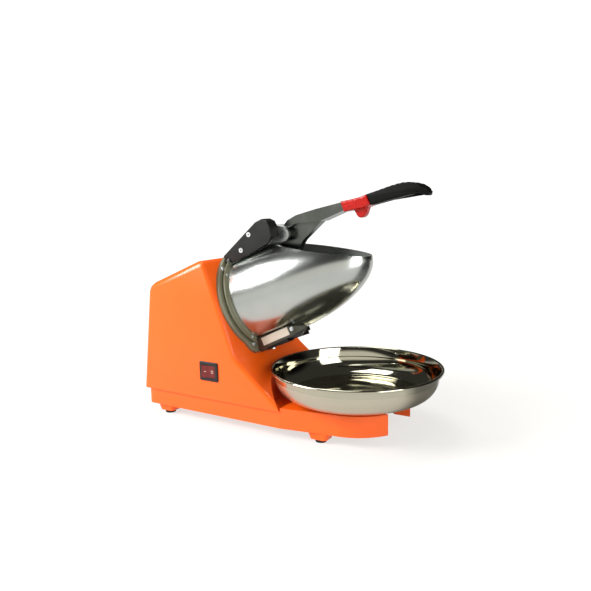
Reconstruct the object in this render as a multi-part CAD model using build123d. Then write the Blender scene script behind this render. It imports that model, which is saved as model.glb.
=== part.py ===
from build123d import *
import math
import os

os.makedirs("parts", exist_ok=True)

# Shaved ice machine, in millimetres and degrees.
# +X runs from the motor end to the bowl, +Z is up, and the XZ plane is the plane of symmetry.
# The origin is at the middle of the plan box, on the surface that the feet stand on.
# Stations are distances along X from the lower rear edge of the cover.

# Bowl and its seat
BOWL_STATION = 334.0
BOWL_RIM_RADIUS = 125.0
BOWL_FLARE = 3.7
BOWL_WALL_RADIUS = BOWL_RIM_RADIUS - BOWL_FLARE
BOWL_FOOT_RADIUS = 86.0
BOWL_DEPTH = 43.0
BOWL_CORNER = 32.0
BOWL_SHEET = 1.0
BOWL_BEAD = 2.2
BOWL_SEAT_GAP = 0.3

# Stand: tray, seat ring, feet
SEAM_HEIGHT = 40.0
TRAY_UNDERSIDE = 15.0
TRAY_WALL = 3.0
TRAY_INSET = 3.0
DECK_TOP = 44.7
SEAT_TOP = 51.0
SEAT_LIP_RADIUS = 70.0
SEAT_OUTER_RADIUS = 79.0
SEAT_INNER_RADIUS = 60.0
SEAT_GAP_WIDTH = 84.0
FOOT_RADIUS = 9.0
FOOT_HEIGHT = 6.5
FOOT_RECESS = 1.5
FOOT_BOSS_LENGTH = 36.0
FOOT_BOSS_WIDTH = 2 * FOOT_RADIUS + 3
FOOT_BOSS_TAPER = 5.0
REAR_FOOT_STATION = 37.0
REAR_FOOT_INSET = 17.0
FRONT_FOOT_STATION = BOWL_STATION - 22
FRONT_FOOT_OFFSET = (SEAT_OUTER_RADIUS + SEAT_INNER_RADIUS) / 2 - 0.5
FOOT_SCREW_RADIUS = 2.0
FOOT_SCREW_LENGTH = 14.0
FOOT_SCREW_HEAD_RADIUS = 3.8

# Cover
COVER_WIDTH = 184.0
COVER_REAR_WIDTH = 174.0
COVER_WALL = 3.0
REAR_TOP_STATION = 24.0
REAR_TOP_HEIGHT = 205.0
FRONT_TOP_HEIGHT = 249.0
KNEE_HEIGHT = 105.0
APRON_END_STATION = BOWL_STATION - 76.5
REAR_TOP_RADIUS = 15.0
FRONT_TOP_RADIUS = 9.0
KNEE_RADIUS = 14.0
SIDE_EDGE_RADIUS = 12.0
BOWL_BAY_GAP = 3.0
BAY_DRAFT = 8.5
COVER_SCREW_RADIUS = 1.75
COVER_SCREW_HEAD_RADIUS = 3.5
COVER_SCREW_LENGTH = 22.0
COVER_BOSS_RADIUS = 5.0
COVER_BOSS_HEIGHT = 16.0
REAR_SCREW_STATION = 62.0
REAR_SCREW_OFFSET = COVER_REAR_WIDTH / 2 - 25
FRONT_SCREW_STATION = 196.0
FRONT_SCREW_OFFSET = COVER_WIDTH / 2 - 18

# Rocker switch in the near side wall
SWITCH_STATION = 134.5
SWITCH_HEIGHT = 83.0
BEZEL_WIDTH = 34.0
BEZEL_HEIGHT = 29.0
BEZEL_THICKNESS = 2.4
SWITCH_BODY_WIDTH = BEZEL_WIDTH - 6
SWITCH_BODY_HEIGHT = BEZEL_HEIGHT - 7
SWITCH_BODY_DEPTH = 20.0
ROCKER_WIDTH = SWITCH_BODY_WIDTH - 4
ROCKER_HEIGHT = SWITCH_BODY_HEIGHT - 3.5
ROCKER_TILT = 8.0
ROCKER_PIVOT_DEPTH = 3.0
ROCKER_STUB_RADIUS = 1.2
TERMINAL_LENGTH = 9.0

# Cord inlet in the rear wall
INLET_HEIGHT = 66.0
INLET_OFFSET = 45.0
INLET_RADIUS = 8.0
INLET_BORE_RADIUS = 3.8
INLET_FLANGE_RADIUS = 10.5

# Head: its axis leaves the sloping front of the cover square to it
HEAD_LEAN = 21.0
HEAD_STATION = 154.5
HEAD_HEIGHT = 179.5

# Cutter
DISC_RADIUS = 62.0
DISC_BACK = 3.5
DISC_THICKNESS = 5.0
BLADE_LENGTH = 42.0
BLADE_WIDTH = 16.0
BLADE_THICKNESS = 1.6
BLADE_COUNT = 2
BLADE_SCREW_RADIUS = 1.5
SHAFT_RADIUS = 5.0
SHAFT_STEP = 1.0
RUNNING_GAP = 0.05
FIT_GAP = 0.1

# Hopper, spun from sheet about the head axis and cut by a nearly level mouth
HOPPER_SHEET = 1.5
HOPPER_ROOT_RADIUS = 70.0
HOPPER_LIP = 7.0
HOPPER_FLANGE_RADIUS = HOPPER_ROOT_RADIUS + HOPPER_LIP
HOPPER_FLANGE = 2.0
HOPPER_STRAIGHT = 20.0
HOPPER_NOSE = 216.0
HOPPER_BLUNTNESS = 2.15
MOUTH_REAR_STATION = 211.6
MOUTH_REAR_HEIGHT = 269.5
MOUTH_SLOPE = 6.0
HOPPER_SCREW_CIRCLE = HOPPER_ROOT_RADIUS + 2.8
HOPPER_SCREW_RADIUS = 1.4
HOPPER_SCREW_HEAD_RADIUS = 2.4
HOPPER_SCREW_HEAD = 1.4

# Blade housing, a painted casting
HOUSING_LAND_RADIUS = HOPPER_FLANGE_RADIUS - 2.5
HOUSING_RADIUS = HOUSING_LAND_RADIUS + 8
HOUSING_FLANGE = 6.0
HOUSING_DEPTH = 10.0
CHAMBER_RADIUS = DISC_RADIUS + 1.5
CHAMBER_FLOOR = -3.0
HOUSING_BACK = -8.0
HOUSING_SKIRT_RADIUS = CHAMBER_RADIUS + 3.5
HOUSING_FLAT = HOUSING_RADIUS - 3
HOUSING_TAB_HALF = 39.0
TAB_LIP = 2.0
HOUSING_SCREW_CIRCLE = HOUSING_RADIUS - 4.3
HOUSING_SCREW_RADIUS = 2.0

# Motor behind the blade housing
MOTOR_RADIUS = 44.0
MOTOR_WALL = 2.0
MOTOR_LENGTH = 82.0
MOTOR_CAP = 7.0
CORE_RADIUS = 23.0
CORE_LENGTH = 44.0
AIR_GAP = 0.8
COMMUTATOR_RADIUS = 11.0
FAN_RADIUS = 36.0
BEARING_RADIUS = 13.0
BEARING_WIDTH = 6.0
MOTOR_SCREW_CIRCLE = 30.0
MOTOR_SCREW_RADIUS = 2.5

# Discharge chute and the guard around it, under the hopper
CHUTE_HALF_WIDTH = 32.0
CHUTE_TOP = HOPPER_ROOT_RADIUS + 1.5
CHUTE_BOTTOM = HOUSING_FLAT - 0.3
CHUTE_END = 60.0
CHUTE_WALL = 2.0
GUARD_HALF_WIDTH = CHUTE_HALF_WIDTH + 8
GUARD_SHEET = 1.5
GUARD_END = 102.0
GUARD_FAR_END = CHUTE_END - 1
GUARD_SCREW_PLACE = (79.0, -HOUSING_FLAT + 16.5)
GUARD_SCREW_RADIUS = 1.6
GUARD_BOLT_OUT = 7.5
GUARD_BOLT_RADIUS = 2.0
GUARD_BOLT_KEY = 4.0
CHEEK_THICKNESS = 2.2
LABEL_OUT = 46.5
LABEL_UP = -HOUSING_FLAT + 13.9
LABEL_TILT = 4.0
LABEL_LENGTH = 50.0
LABEL_HEIGHT = 12.0
LABEL_THICKNESS = 0.6

# Lever hinge, measured from the head's face and axis
PIVOT_OUT = 105.1
PIVOT_UP = HOPPER_ROOT_RADIUS + 1.6
PIN_RADIUS = 4.0
PIN_HEAD_RADIUS = 5.2
BARREL_RADIUS = 9.5
LEVER_HALF_WIDTH = 15.5
BRACKET_GAP = 1.0
BRACKET_SIDE = 5.5
BRACKET_EAR_RADIUS = 10.0
BRACKET_SCREW_ANGLE = 27.0
SADDLE_GAP = 0.8
SADDLE_THICKNESS = 3.2
SADDLE_END = 84.0
RIVET_PLACES = ((62.8, PIVOT_UP + 16.7), (41.0, PIVOT_UP))
RIVET_RADIUS = 2.0
PLUNGER_RADIUS = 1.5
PLUNGER_BACK = 11.0
PLUNGER_RISE = 2.6
CAM_RADIUS = 13.2
PLUNGER_TRAVEL = 1.2
PLUNGER_GAP = 0.4
SWITCH_COVER_DEPTH = 22.0
SWITCH_COVER_WALL = 2.0

# Lever
RAIL_HALF_WIDTH = 13.0
WEB_HALF_WIDTH = 6.5
GRIP_HALF_WIDTH = 13.0
HAND_GUARD_HALF_WIDTH = RAIL_HALF_WIDTH + 1
PRESS_RADIUS = 38.0
PRESS_UP = 16.0
PRESS_OUT = 32.0
PRESS_THICKNESS = 4.0
PRESS_RIB_SPACING = 10.0
PRESS_BOSS_RADIUS = 11.0
PRESS_BOSS_HEIGHT = 8.0

LENGTH = BOWL_STATION + BOWL_RIM_RADIUS
LEAN_TAN = math.tan(math.radians(HEAD_LEAN))
LEAN_SIN = math.sin(math.radians(HEAD_LEAN))
LEAN_COS = math.cos(math.radians(HEAD_LEAN))


def at(station):
    """X of a station."""
    return station - LENGTH / 2


def face_station(height):
    """Station of the cover's sloping front face at a height."""
    return HEAD_STATION + (HEAD_HEIGHT - height) * LEAN_TAN


HEAD = Plane(
    origin=(at(HEAD_STATION), 0, HEAD_HEIGHT),
    x_dir=(-LEAN_SIN, 0, LEAN_COS),
    z_dir=(LEAN_COS, 0, LEAN_SIN),
)
BOWL_X = at(BOWL_STATION)
PIVOT_X = at(HEAD_STATION) + PIVOT_OUT * LEAN_COS - PIVOT_UP * LEAN_SIN
PIVOT_Z = HEAD_HEIGHT + PIVOT_OUT * LEAN_SIN + PIVOT_UP * LEAN_COS


# ---- Small helpers ----

def save(shape, node):
    """Write one node."""
    export_step(shape, "parts/" + node + ".step")


def cyl(radius, low, high):
    """Cylinder about Z from one height to another."""
    return Pos(0, 0, (low + high) / 2) * Cylinder(radius, high - low)


def tube(outer, inner, low, high):
    """Ring about Z."""
    return cyl(outer, low, high) - cyl(inner, low - 1, high + 1)


def block(x_range, y_range, z_range):
    """Box from its three ranges."""
    centre = [(r[0] + r[1]) / 2 for r in (x_range, y_range, z_range)]
    sides = [abs(r[1] - r[0]) for r in (x_range, y_range, z_range)]
    return Pos(*centre) * Box(*sides)


def on_head(shape):
    """Move a shape from the head's frame: X up the face, +Y to the switch side, Z outward."""
    return HEAD.location * shape


def head_plate(points, low, high):
    """Plate square to the head's Y, from (out, up) points, between two Y values."""
    plane = Plane(origin=(0, low, 0), x_dir=(0, 0, 1), z_dir=(0, 1, 0))
    return extrude(plane * make_face(Polyline(*points, close=True)), high - low)


def side_plate(points, half_width):
    """Symmetrical plate square to Y, from (x, z) points."""
    face = Plane.XZ * make_face(Polyline(*points, close=True))
    return extrude(face, half_width, both=True)


def revolved(points):
    """Solid of revolution about Z from (radius, height) points."""
    return revolve(Plane.XZ * make_face(Polyline(*points, close=True)), Axis.Z)


def about_axis(shape, count, first=0.0):
    """Copies of a shape spread evenly about Z."""
    return [Rot(0, 0, first + 360 / count * i) * shape for i in range(count)]


def pan_screw(radius, head_radius, head_height, length):
    """Cross-recess screw along -Z, its head resting on z = 0."""
    head = cyl(head_radius, 0, head_height)
    head = fillet(head.edges().group_by(Axis.Z)[-1], head_height * 0.6)
    slot = 0.35 * radius
    recess = block((-radius, radius), (-slot, slot), (head_height * 0.5, head_height + 1))
    return head + cyl(radius, -length, 0.1) - recess - Rot(0, 0, 90) * recess


def mirrored_pair(shape):
    """A shape and its mirror image across the plane of symmetry."""
    return [shape, mirror(shape, Plane.XZ)]


def group(shapes):
    """Several separate solids as one node."""
    solids = []
    for shape in shapes:
        solids += shape.solids()
    return Compound(children=solids)


# ---- Stand: tray, feet, screws ----

def plan_outline(inset):
    """Half-width of the cover's plan at its rear and front, drawn in by an inset."""
    rear = COVER_REAR_WIDTH / 2 - inset
    front = COVER_WIDTH / 2 - inset
    x_rear = at(inset)
    x_front = at(APRON_END_STATION)
    corners = [(x_rear, -rear), (x_front, -front), (x_front, front), (x_rear, rear)]
    return make_face(Polyline(*corners, close=True))


def stand_plan(inset):
    """Plan of the tray: the cover's plan run into the bowl's seat ring."""
    front = COVER_WIDTH / 2 - TRAY_INSET - inset
    ring = SEAT_OUTER_RADIUS - inset
    x_front = at(APRON_END_STATION)
    neck = [(x_front, -front), (BOWL_X, -ring), (BOWL_X, ring), (x_front, front)]
    plan = plan_outline(TRAY_INSET + inset) + make_face(Polyline(*neck, close=True))
    return plan + Pos(BOWL_X, 0) * Circle(ring)


def seat_gap(extra):
    """Space between the two arms of the seat ring, open to the front."""
    reach = BOWL_RIM_RADIUS
    half = SEAT_GAP_WIDTH / 2 + extra
    return block((BOWL_X, BOWL_X + reach), (-half, half), (0, SEAT_TOP + 1))


def stand_solid(inset, low, high):
    """Tray envelope between two heights, with the seat ring's hole and gap."""
    solid = Pos(0, 0, low) * extrude(stand_plan(inset), high - low)
    solid -= Pos(BOWL_X, 0) * cyl(SEAT_INNER_RADIUS + inset, low - 1, high + 1)
    return solid - seat_gap(inset)


def foot_places():
    """Plan positions of the four feet."""
    rear_offset = COVER_REAR_WIDTH / 2 - REAR_FOOT_INSET
    rear = [(at(REAR_FOOT_STATION), side * rear_offset) for side in (-1, 1)]
    front = [(at(FRONT_FOOT_STATION), side * FRONT_FOOT_OFFSET) for side in (-1, 1)]
    return rear + front


def cover_screw_places():
    """Plan positions of the four screws that hold the cover down."""
    rear = [(at(REAR_SCREW_STATION), side * REAR_SCREW_OFFSET) for side in (-1, 1)]
    front = [(at(FRONT_SCREW_STATION), side * FRONT_SCREW_OFFSET) for side in (-1, 1)]
    return rear + front


def base_tray():
    """Moulded tray with foot bosses and the C-shaped seat for the bowl."""
    deck_edge = at(APRON_END_STATION)
    tray = stand_solid(0, TRAY_UNDERSIDE, SEAM_HEIGHT)
    rear_edges = tray.edges().filter_by(Axis.Z).group_by(Axis.X)[0]
    tray = fillet(rear_edges, SIDE_EDGE_RADIUS - TRAY_INSET / 2)
    front = block((deck_edge + FIT_GAP, LENGTH), (-LENGTH, LENGTH), (0, LENGTH))
    tray += stand_solid(0, SEAM_HEIGHT - 1, DECK_TOP) & front
    ring = tube(SEAT_OUTER_RADIUS, SEAT_INNER_RADIUS, SEAM_HEIGHT - 1, DECK_TOP)
    ring += tube(SEAT_LIP_RADIUS, SEAT_INNER_RADIUS, DECK_TOP - 1, SEAT_TOP)
    tray += Pos(BOWL_X, 0) * ring - seat_gap(0)
    hollow = stand_solid(TRAY_WALL, TRAY_UNDERSIDE - 1, SEAM_HEIGHT - TRAY_WALL)
    bay = Pos(BOWL_X, 0) * cyl(BOWL_RIM_RADIUS + BOWL_BAY_GAP - TRAY_WALL, 0, SEAM_HEIGHT)
    tray -= hollow & bay
    well = stand_solid(TRAY_WALL, TRAY_UNDERSIDE + TRAY_WALL, SEAM_HEIGHT + 1)
    well &= block((-LENGTH, deck_edge - TRAY_WALL), (-LENGTH, LENGTH), (0, LENGTH))
    well -= Pos(BOWL_X, 0) * cyl(BOWL_RIM_RADIUS + BOWL_BAY_GAP, 0, LENGTH)
    tray -= well
    for index, (x, y) in enumerate(foot_places()):
        tray += foot_boss(x, y, index)
    for x, y in foot_places():
        tray -= Pos(x, y) * cyl(FOOT_RADIUS + 0.2, 0, FOOT_HEIGHT)
        tray -= Pos(x, y) * cyl(FOOT_SCREW_RADIUS, 0, FOOT_HEIGHT + FOOT_SCREW_LENGTH)
    for x, y in cover_screw_places():
        pillar = Pos(x, y) * cyl(COVER_BOSS_RADIUS + 1, TRAY_UNDERSIDE, SEAM_HEIGHT)
        tray += pillar
        tray -= Pos(x, y) * cyl(COVER_SCREW_RADIUS + 0.2, 0, SEAM_HEIGHT + 1)
        tray -= Pos(x, y) * cyl(COVER_SCREW_HEAD_RADIUS + 0.5, 0, TRAY_UNDERSIDE + TRAY_WALL)
    for index in range(7):
        x = at(REAR_SCREW_STATION + 24 + 10 * index)
        tray -= block((x - 2, x + 2), (-30, 30), (TRAY_UNDERSIDE - 1, TRAY_UNDERSIDE + TRAY_WALL + 1))
    return tray


def foot_boss(x, y, index):
    """Tapered boss that carries one foot below the tray."""
    low = FOOT_HEIGHT - FOOT_RECESS
    top = TRAY_UNDERSIDE + TRAY_WALL
    wide = Pos(x, y, top) * RectangleRounded(FOOT_BOSS_LENGTH, FOOT_BOSS_WIDTH + 2, 5)
    narrow = Pos(x, y, low) * RectangleRounded(FOOT_BOSS_LENGTH - 2 * FOOT_BOSS_TAPER, FOOT_BOSS_WIDTH, 5)
    boss = loft([narrow, wide])
    if index > 1:
        boss += Pos(x, y) * cyl(FOOT_SCREW_RADIUS + 3, low, SEAM_HEIGHT - 1)
    return boss


def rubber_feet():
    """Four tapered rubber feet, each in its recess."""
    foot = Cone(FOOT_RADIUS - 1.2, FOOT_RADIUS, FOOT_HEIGHT)
    foot = Pos(0, 0, FOOT_HEIGHT / 2) * foot
    foot -= cyl(FOOT_SCREW_HEAD_RADIUS + 0.3, -1, FOOT_HEIGHT / 2)
    foot -= cyl(FOOT_SCREW_RADIUS + 0.1, 0, FOOT_HEIGHT + 1)
    return group([Pos(x, y) * foot for x, y in foot_places()])


def foot_screws():
    """Screws that hold the feet from below."""
    screw = Rot(180, 0, 0) * pan_screw(FOOT_SCREW_RADIUS, FOOT_SCREW_HEAD_RADIUS, 1.8, FOOT_SCREW_LENGTH)
    return group([Pos(x, y, FOOT_HEIGHT / 2) * screw for x, y in foot_places()])


def cover_screws():
    """Screws from below, through the tray's pillars into the cover's bosses."""
    seat = TRAY_UNDERSIDE + TRAY_WALL
    length = SEAM_HEIGHT - seat + COVER_BOSS_HEIGHT - 4
    screw = Rot(180, 0, 0) * pan_screw(COVER_SCREW_RADIUS, COVER_SCREW_HEAD_RADIUS, 2.2, length)
    return group([Pos(x, y, seat) * screw for x, y in cover_screw_places()])


# ---- Cover ----

def cover_profile(inset):
    """Side view of the cover, drawn in by an inset, with sharp corners."""
    knee = face_station(KNEE_HEIGHT)
    rear_lean = REAR_TOP_STATION / (REAR_TOP_HEIGHT - SEAM_HEIGHT)
    shift = inset * math.hypot(1, LEAN_TAN)
    top = FRONT_TOP_HEIGHT - inset
    points = [
        (at(inset), SEAM_HEIGHT),
        (at(rear_lean * (REAR_TOP_HEIGHT - inset - SEAM_HEIGHT) + inset), REAR_TOP_HEIGHT - inset),
        (at(face_station(top) - shift), top),
        (at(knee - shift), KNEE_HEIGHT - inset / 2),
        (at(APRON_END_STATION - 1.6 * inset), DECK_TOP),
        (at(APRON_END_STATION - 1.6 * inset), SEAM_HEIGHT),
    ]
    return make_face(Polyline(*points, close=True))


def cover_form(inset):
    """Cover envelope, drawn in by an inset, with every outer edge rounded."""
    side = extrude(Plane.XZ * cover_profile(inset), COVER_WIDTH, both=True)
    side &= block((-LENGTH, LENGTH), (-LENGTH, LENGTH), (SEAM_HEIGHT, LENGTH))
    plan = Pos(0, 0, SEAM_HEIGHT) * extrude(plan_outline(inset), LENGTH)
    form = side & plan
    form = fillet(cross_edge(form, face_station(KNEE_HEIGHT), KNEE_HEIGHT), KNEE_RADIUS)
    brow = cross_edge(form, face_station(FRONT_TOP_HEIGHT), FRONT_TOP_HEIGHT)
    form = fillet(brow, FRONT_TOP_RADIUS - inset)
    form = fillet(cross_edge(form, REAR_TOP_STATION, REAR_TOP_HEIGHT), REAR_TOP_RADIUS - inset)
    middle = (at(face_station(FRONT_TOP_HEIGHT) / 2), (REAR_TOP_HEIGHT + FRONT_TOP_HEIGHT) / 2)
    sides = form.edges().filter_by(lambda e: abs(e.center().Y) > COVER_WIDTH / 4)
    sides = sides.sort_by(lambda e: (e.center().X - middle[0]) ** 2 + (e.center().Z - middle[1]) ** 2)
    return fillet(sides[:2], SIDE_EDGE_RADIUS - inset)


def cross_edge(form, station, height):
    """The straight edge across the body that lies nearest a station and height."""
    across = form.edges().filter_by(Axis.Y)
    return across.sort_by(lambda e: (e.center().X - at(station)) ** 2 + (e.center().Z - height) ** 2)[0]


def bowl_bay(extra):
    """Room for the bowl in front of the apron, wider at its rim, grown by an extra wall."""
    radius = BOWL_RIM_RADIUS + BOWL_BAY_GAP + extra
    low = SEAM_HEIGHT - 1
    rim = SEAT_TOP + BOWL_DEPTH
    bay = Pos(0, 0, (low + rim) / 2) * Cone(radius - BAY_DRAFT, radius, rim - low)
    return Pos(BOWL_X, 0) * (bay + cyl(radius, rim, 2 * rim))


def housing_cover():
    """Moulded cover with its screw bosses and the openings for head, switch and cord."""
    cover = cover_form(0) - bowl_bay(0)
    hollow = cover_form(COVER_WALL) - bowl_bay(COVER_WALL)
    mouth = hollow.faces().sort_by(Axis.Z)[0]
    hollow += extrude(mouth, 2, dir=(0, 0, -1))
    bosses = []
    for x, y in cover_screw_places():
        boss = Pos(x, y) * cyl(COVER_BOSS_RADIUS, SEAM_HEIGHT, SEAM_HEIGHT + COVER_BOSS_HEIGHT)
        wall = math.copysign(COVER_WIDTH / 2 - COVER_WALL / 2, y)
        rib = block((x - 1, x + 1), (y, wall), (SEAM_HEIGHT, SEAM_HEIGHT + COVER_BOSS_HEIGHT))
        bosses.append((boss + rib) & cover_form(1))
    cover -= hollow
    for boss in bosses:
        cover += boss
    for x, y in cover_screw_places():
        cover -= Pos(x, y) * cyl(COVER_SCREW_RADIUS, SEAM_HEIGHT - 1, SEAM_HEIGHT + COVER_BOSS_HEIGHT - 2)
    cover -= on_head(cyl(HOUSING_SKIRT_RADIUS + FIT_GAP, -2 * COVER_WALL, COVER_WALL))
    for x, y in housing_screw_places():
        cover -= on_head(Pos(x, y) * cyl(HOUSING_SCREW_RADIUS, -2 * COVER_WALL, COVER_WALL))
    tab_half = HOUSING_TAB_HALF + 10
    cover -= on_head(block((-HOUSING_FLAT - FIT_GAP, 0), (-tab_half, tab_half), (0, HOUSING_DEPTH)))
    cover -= switch_place(block(
        (-SWITCH_BODY_WIDTH / 2 - FIT_GAP, SWITCH_BODY_WIDTH / 2 + FIT_GAP),
        (-COVER_WALL * 2, COVER_WALL * 2),
        (-SWITCH_BODY_HEIGHT / 2 - FIT_GAP, SWITCH_BODY_HEIGHT / 2 + FIT_GAP),
    ))
    cover -= inlet_place(cyl(INLET_RADIUS + FIT_GAP, -COVER_WALL * 3, COVER_WALL * 3))
    return cover


def switch_place(shape):
    """Move a shape from the switch's frame, with -Y outward, to the near side wall."""
    slope = (COVER_WIDTH - COVER_REAR_WIDTH) / 2 / APRON_END_STATION
    y = -(COVER_REAR_WIDTH / 2 + slope * SWITCH_STATION)
    turn = -math.degrees(math.atan(slope))
    return Pos(at(SWITCH_STATION), y, SWITCH_HEIGHT) * Rot(0, 0, turn) * shape


def inlet_place(shape):
    """Move a shape from the inlet's frame, with Z outward, to the rear wall."""
    lean = math.atan(REAR_TOP_STATION / (REAR_TOP_HEIGHT - SEAM_HEIGHT))
    x = at((INLET_HEIGHT - SEAM_HEIGHT) * math.tan(lean))
    return Pos(x, INLET_OFFSET, INLET_HEIGHT) * Rot(0, -90 + math.degrees(lean), 0) * shape


def cord_inlet():
    """Grommet for the mains cord, with a flange outside and a snap lip inside the wall."""
    grommet = tube(INLET_RADIUS, INLET_BORE_RADIUS, -COVER_WALL - 3, 0.2)
    grommet += tube(INLET_FLANGE_RADIUS, INLET_BORE_RADIUS, 0.2, 2.2)
    grommet = chamfer(grommet.edges().group_by(Axis.Z)[-1][-1], 1)
    grommet += tube(INLET_RADIUS + 1.2, INLET_BORE_RADIUS, -COVER_WALL - 2.4, -COVER_WALL - 0.4)
    return inlet_place(grommet)


def terminal_block():
    """Block that joins the mains cord to the inner wiring, on the tray's floor."""
    floor = TRAY_UNDERSIDE + TRAY_WALL
    x = at(REAR_SCREW_STATION - 22)
    body = block((x - 10, x + 10), (-18, 18), (floor, floor + 16))
    for index in range(3):
        y = -11 + 11 * index
        body -= Pos(x, y) * cyl(2.2, floor + 8, floor + 17)
        body -= Pos(x, y, floor + 6) * Rot(0, 90, 0) * Cylinder(1.8, 30)
    return body


# ---- Rocker switch ----

def switch_bezel():
    """Switch frame and body, with the well that the rocker sits in."""
    reach = BEZEL_WIDTH / 2
    rise = BEZEL_HEIGHT / 2
    frame = block((-reach, reach), (-BEZEL_THICKNESS, 0), (-rise, rise))
    frame = fillet(frame.edges().filter_by(Axis.Y), 2)
    rim = frame.faces().sort_by(Axis.Y)[0].edges()
    frame = chamfer(rim, 0.9)
    half_width = SWITCH_BODY_WIDTH / 2
    half_height = SWITCH_BODY_HEIGHT / 2
    body = block((-half_width, half_width), (-0.1, SWITCH_BODY_DEPTH), (-half_height, half_height))
    well_half = ROCKER_WIDTH / 2 + 1
    well = block((-well_half, well_half), (-10, 12), (-ROCKER_HEIGHT / 2 - 0.4, ROCKER_HEIGHT / 2 + 0.4))
    switch = frame + body - well
    for side in (-1, 1):
        switch += Pos(0, ROCKER_PIVOT_DEPTH, side * ROCKER_HEIGHT / 2) * Cylinder(ROCKER_STUB_RADIUS, 1)
    return switch_place(switch)


def switch_rocker():
    """Rocker tilted to its off end, with two pivot dimples and raised marks."""
    half = ROCKER_WIDTH / 2
    dip = 1.1
    points = [(-half, 0), (-half, -2.0 - dip), (0, -2.0), (half, -2.0 - dip), (half, 0), (0, 6)]
    face = Plane.XY * make_face(Polyline(*points, close=True))
    rocker = extrude(face, ROCKER_HEIGHT / 2, both=True)
    for side in (-1, 1):
        dimple = Cylinder(ROCKER_STUB_RADIUS + RUNNING_GAP, 1.4)
        rocker -= Pos(0, ROCKER_PIVOT_DEPTH, side * ROCKER_HEIGHT / 2) * dimple
    bar = block((-0.4 - half / 2, 0.4 - half / 2), (-4, -2.7), (-2.5, 2.5))
    ring = Pos(half / 2, -3.1, 0) * Rot(90, 0, 0) * (Cylinder(2.6, 1.1) - Cylinder(1.9, 2))
    rocker -= bar
    rocker -= ring
    tilt = Pos(0, ROCKER_PIVOT_DEPTH, 0) * Rot(0, 0, ROCKER_TILT) * Pos(0, -ROCKER_PIVOT_DEPTH, 0)
    return switch_place(tilt * rocker)


def switch_terminals():
    """Four blade terminals on the back of the rocker switch."""
    tip = SWITCH_BODY_DEPTH + TERMINAL_LENGTH
    blades = []
    for x in (-7, 7):
        for z in (-6, 6):
            blade = block((x - 3.1, x + 3.1), (SWITCH_BODY_DEPTH, tip), (z - 0.4, z + 0.4))
            hole = Pos(x, tip - 3, z) * Cylinder(0.9, 3)
            blades.append(switch_place(blade - hole))
    return group(blades)


# ---- Blade housing ----

def housing_screw_places():
    """Screws through the housing's flange into the cover, in the head's frame."""
    places = []
    for angle in (45, 147, 213, 315):
        turn = math.radians(angle)
        places.append((HOUSING_SCREW_CIRCLE * math.cos(turn), HOUSING_SCREW_CIRCLE * math.sin(turn)))
    return places


def motor_screw_places():
    """Screws through the housing's back into the motor's front cap."""
    places = []
    for angle in (45, 135, 225, 315):
        turn = math.radians(angle)
        places.append((MOTOR_SCREW_CIRCLE * math.cos(turn), MOTOR_SCREW_CIRCLE * math.sin(turn)))
    return places


def guard_bolt_place():
    """Frame of the guard's bolt, on the flat of the housing's lip, its Z up into the lip."""
    return Pos(-HOUSING_FLAT, 0, GUARD_BOLT_OUT) * Rot(0, 90, 0)


def blade_housing():
    """Casting with a flange, a chamber for the cutter and a flat tab at the outlet."""
    tab = [
        (-HOUSING_FLAT, -HOUSING_TAB_HALF),
        (-HOUSING_FLAT, HOUSING_TAB_HALF),
        (-HOUSING_FLAT + 6, HOUSING_TAB_HALF + 10),
        (-HOUSING_FLAT + 24, HOUSING_TAB_HALF + 20),
        (-HOUSING_FLAT + 24, -HOUSING_TAB_HALF - 20),
        (-HOUSING_FLAT + 6, -HOUSING_TAB_HALF - 10),
    ]
    flange = cyl(HOUSING_RADIUS, 0, HOUSING_FLANGE)
    flange -= block((-2 * HOUSING_RADIUS, -HOUSING_FLAT), (-LENGTH, LENGTH), (-1, LENGTH))
    flange += extrude(make_face(Polyline(*tab, close=True)), HOUSING_FLANGE)
    rim = flange.faces().sort_by(Axis.Z)[-1].edges()
    flange = fillet(rim, 3)
    casting = flange + cyl(HOUSING_LAND_RADIUS, 0, HOUSING_DEPTH)
    outlet_block = block(
        (-HOUSING_FLAT, -HOUSING_LAND_RADIUS + 12),
        (-HOUSING_TAB_HALF, HOUSING_TAB_HALF),
        (0, HOUSING_DEPTH),
    )
    casting += outlet_block
    casting += cyl(HOUSING_SKIRT_RADIUS, HOUSING_BACK, 0.1)
    casting -= cyl(CHAMBER_RADIUS, CHAMBER_FLOOR, HOUSING_DEPTH + 1)
    window_half = CHUTE_HALF_WIDTH - CHUTE_WALL
    casting -= block((-HOUSING_FLAT + TAB_LIP, 0), (-window_half, window_half), (1, HOUSING_DEPTH + 1))
    casting -= guard_bolt_place() * cyl(GUARD_BOLT_RADIUS, -1, TAB_LIP + 1)
    casting -= cyl(SHAFT_RADIUS + 2, HOUSING_BACK - 1, 0)
    for x, y in motor_screw_places():
        casting -= Pos(x, y) * cyl(MOTOR_SCREW_RADIUS + FIT_GAP, HOUSING_BACK - 1, CHAMBER_FLOOR + 1)
        casting -= Pos(x, y) * cyl(MOTOR_SCREW_RADIUS * 2, CHAMBER_FLOOR - 2.5, CHAMBER_FLOOR + 1)
    for x, y in housing_screw_places():
        casting -= Pos(x, y) * cyl(HOUSING_SCREW_RADIUS + FIT_GAP, -1, HOUSING_FLANGE + 1)
    for x, y in hopper_screw_places():
        casting -= Pos(x, y) * cyl(HOPPER_SCREW_RADIUS, HOUSING_DEPTH - 7, HOUSING_DEPTH + 1)
    for x, y in bracket_screw_places():
        casting -= Pos(x, y) * cyl(HOPPER_SCREW_RADIUS, HOUSING_DEPTH - 8, HOUSING_DEPTH + 1)
    return on_head(casting)


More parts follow.
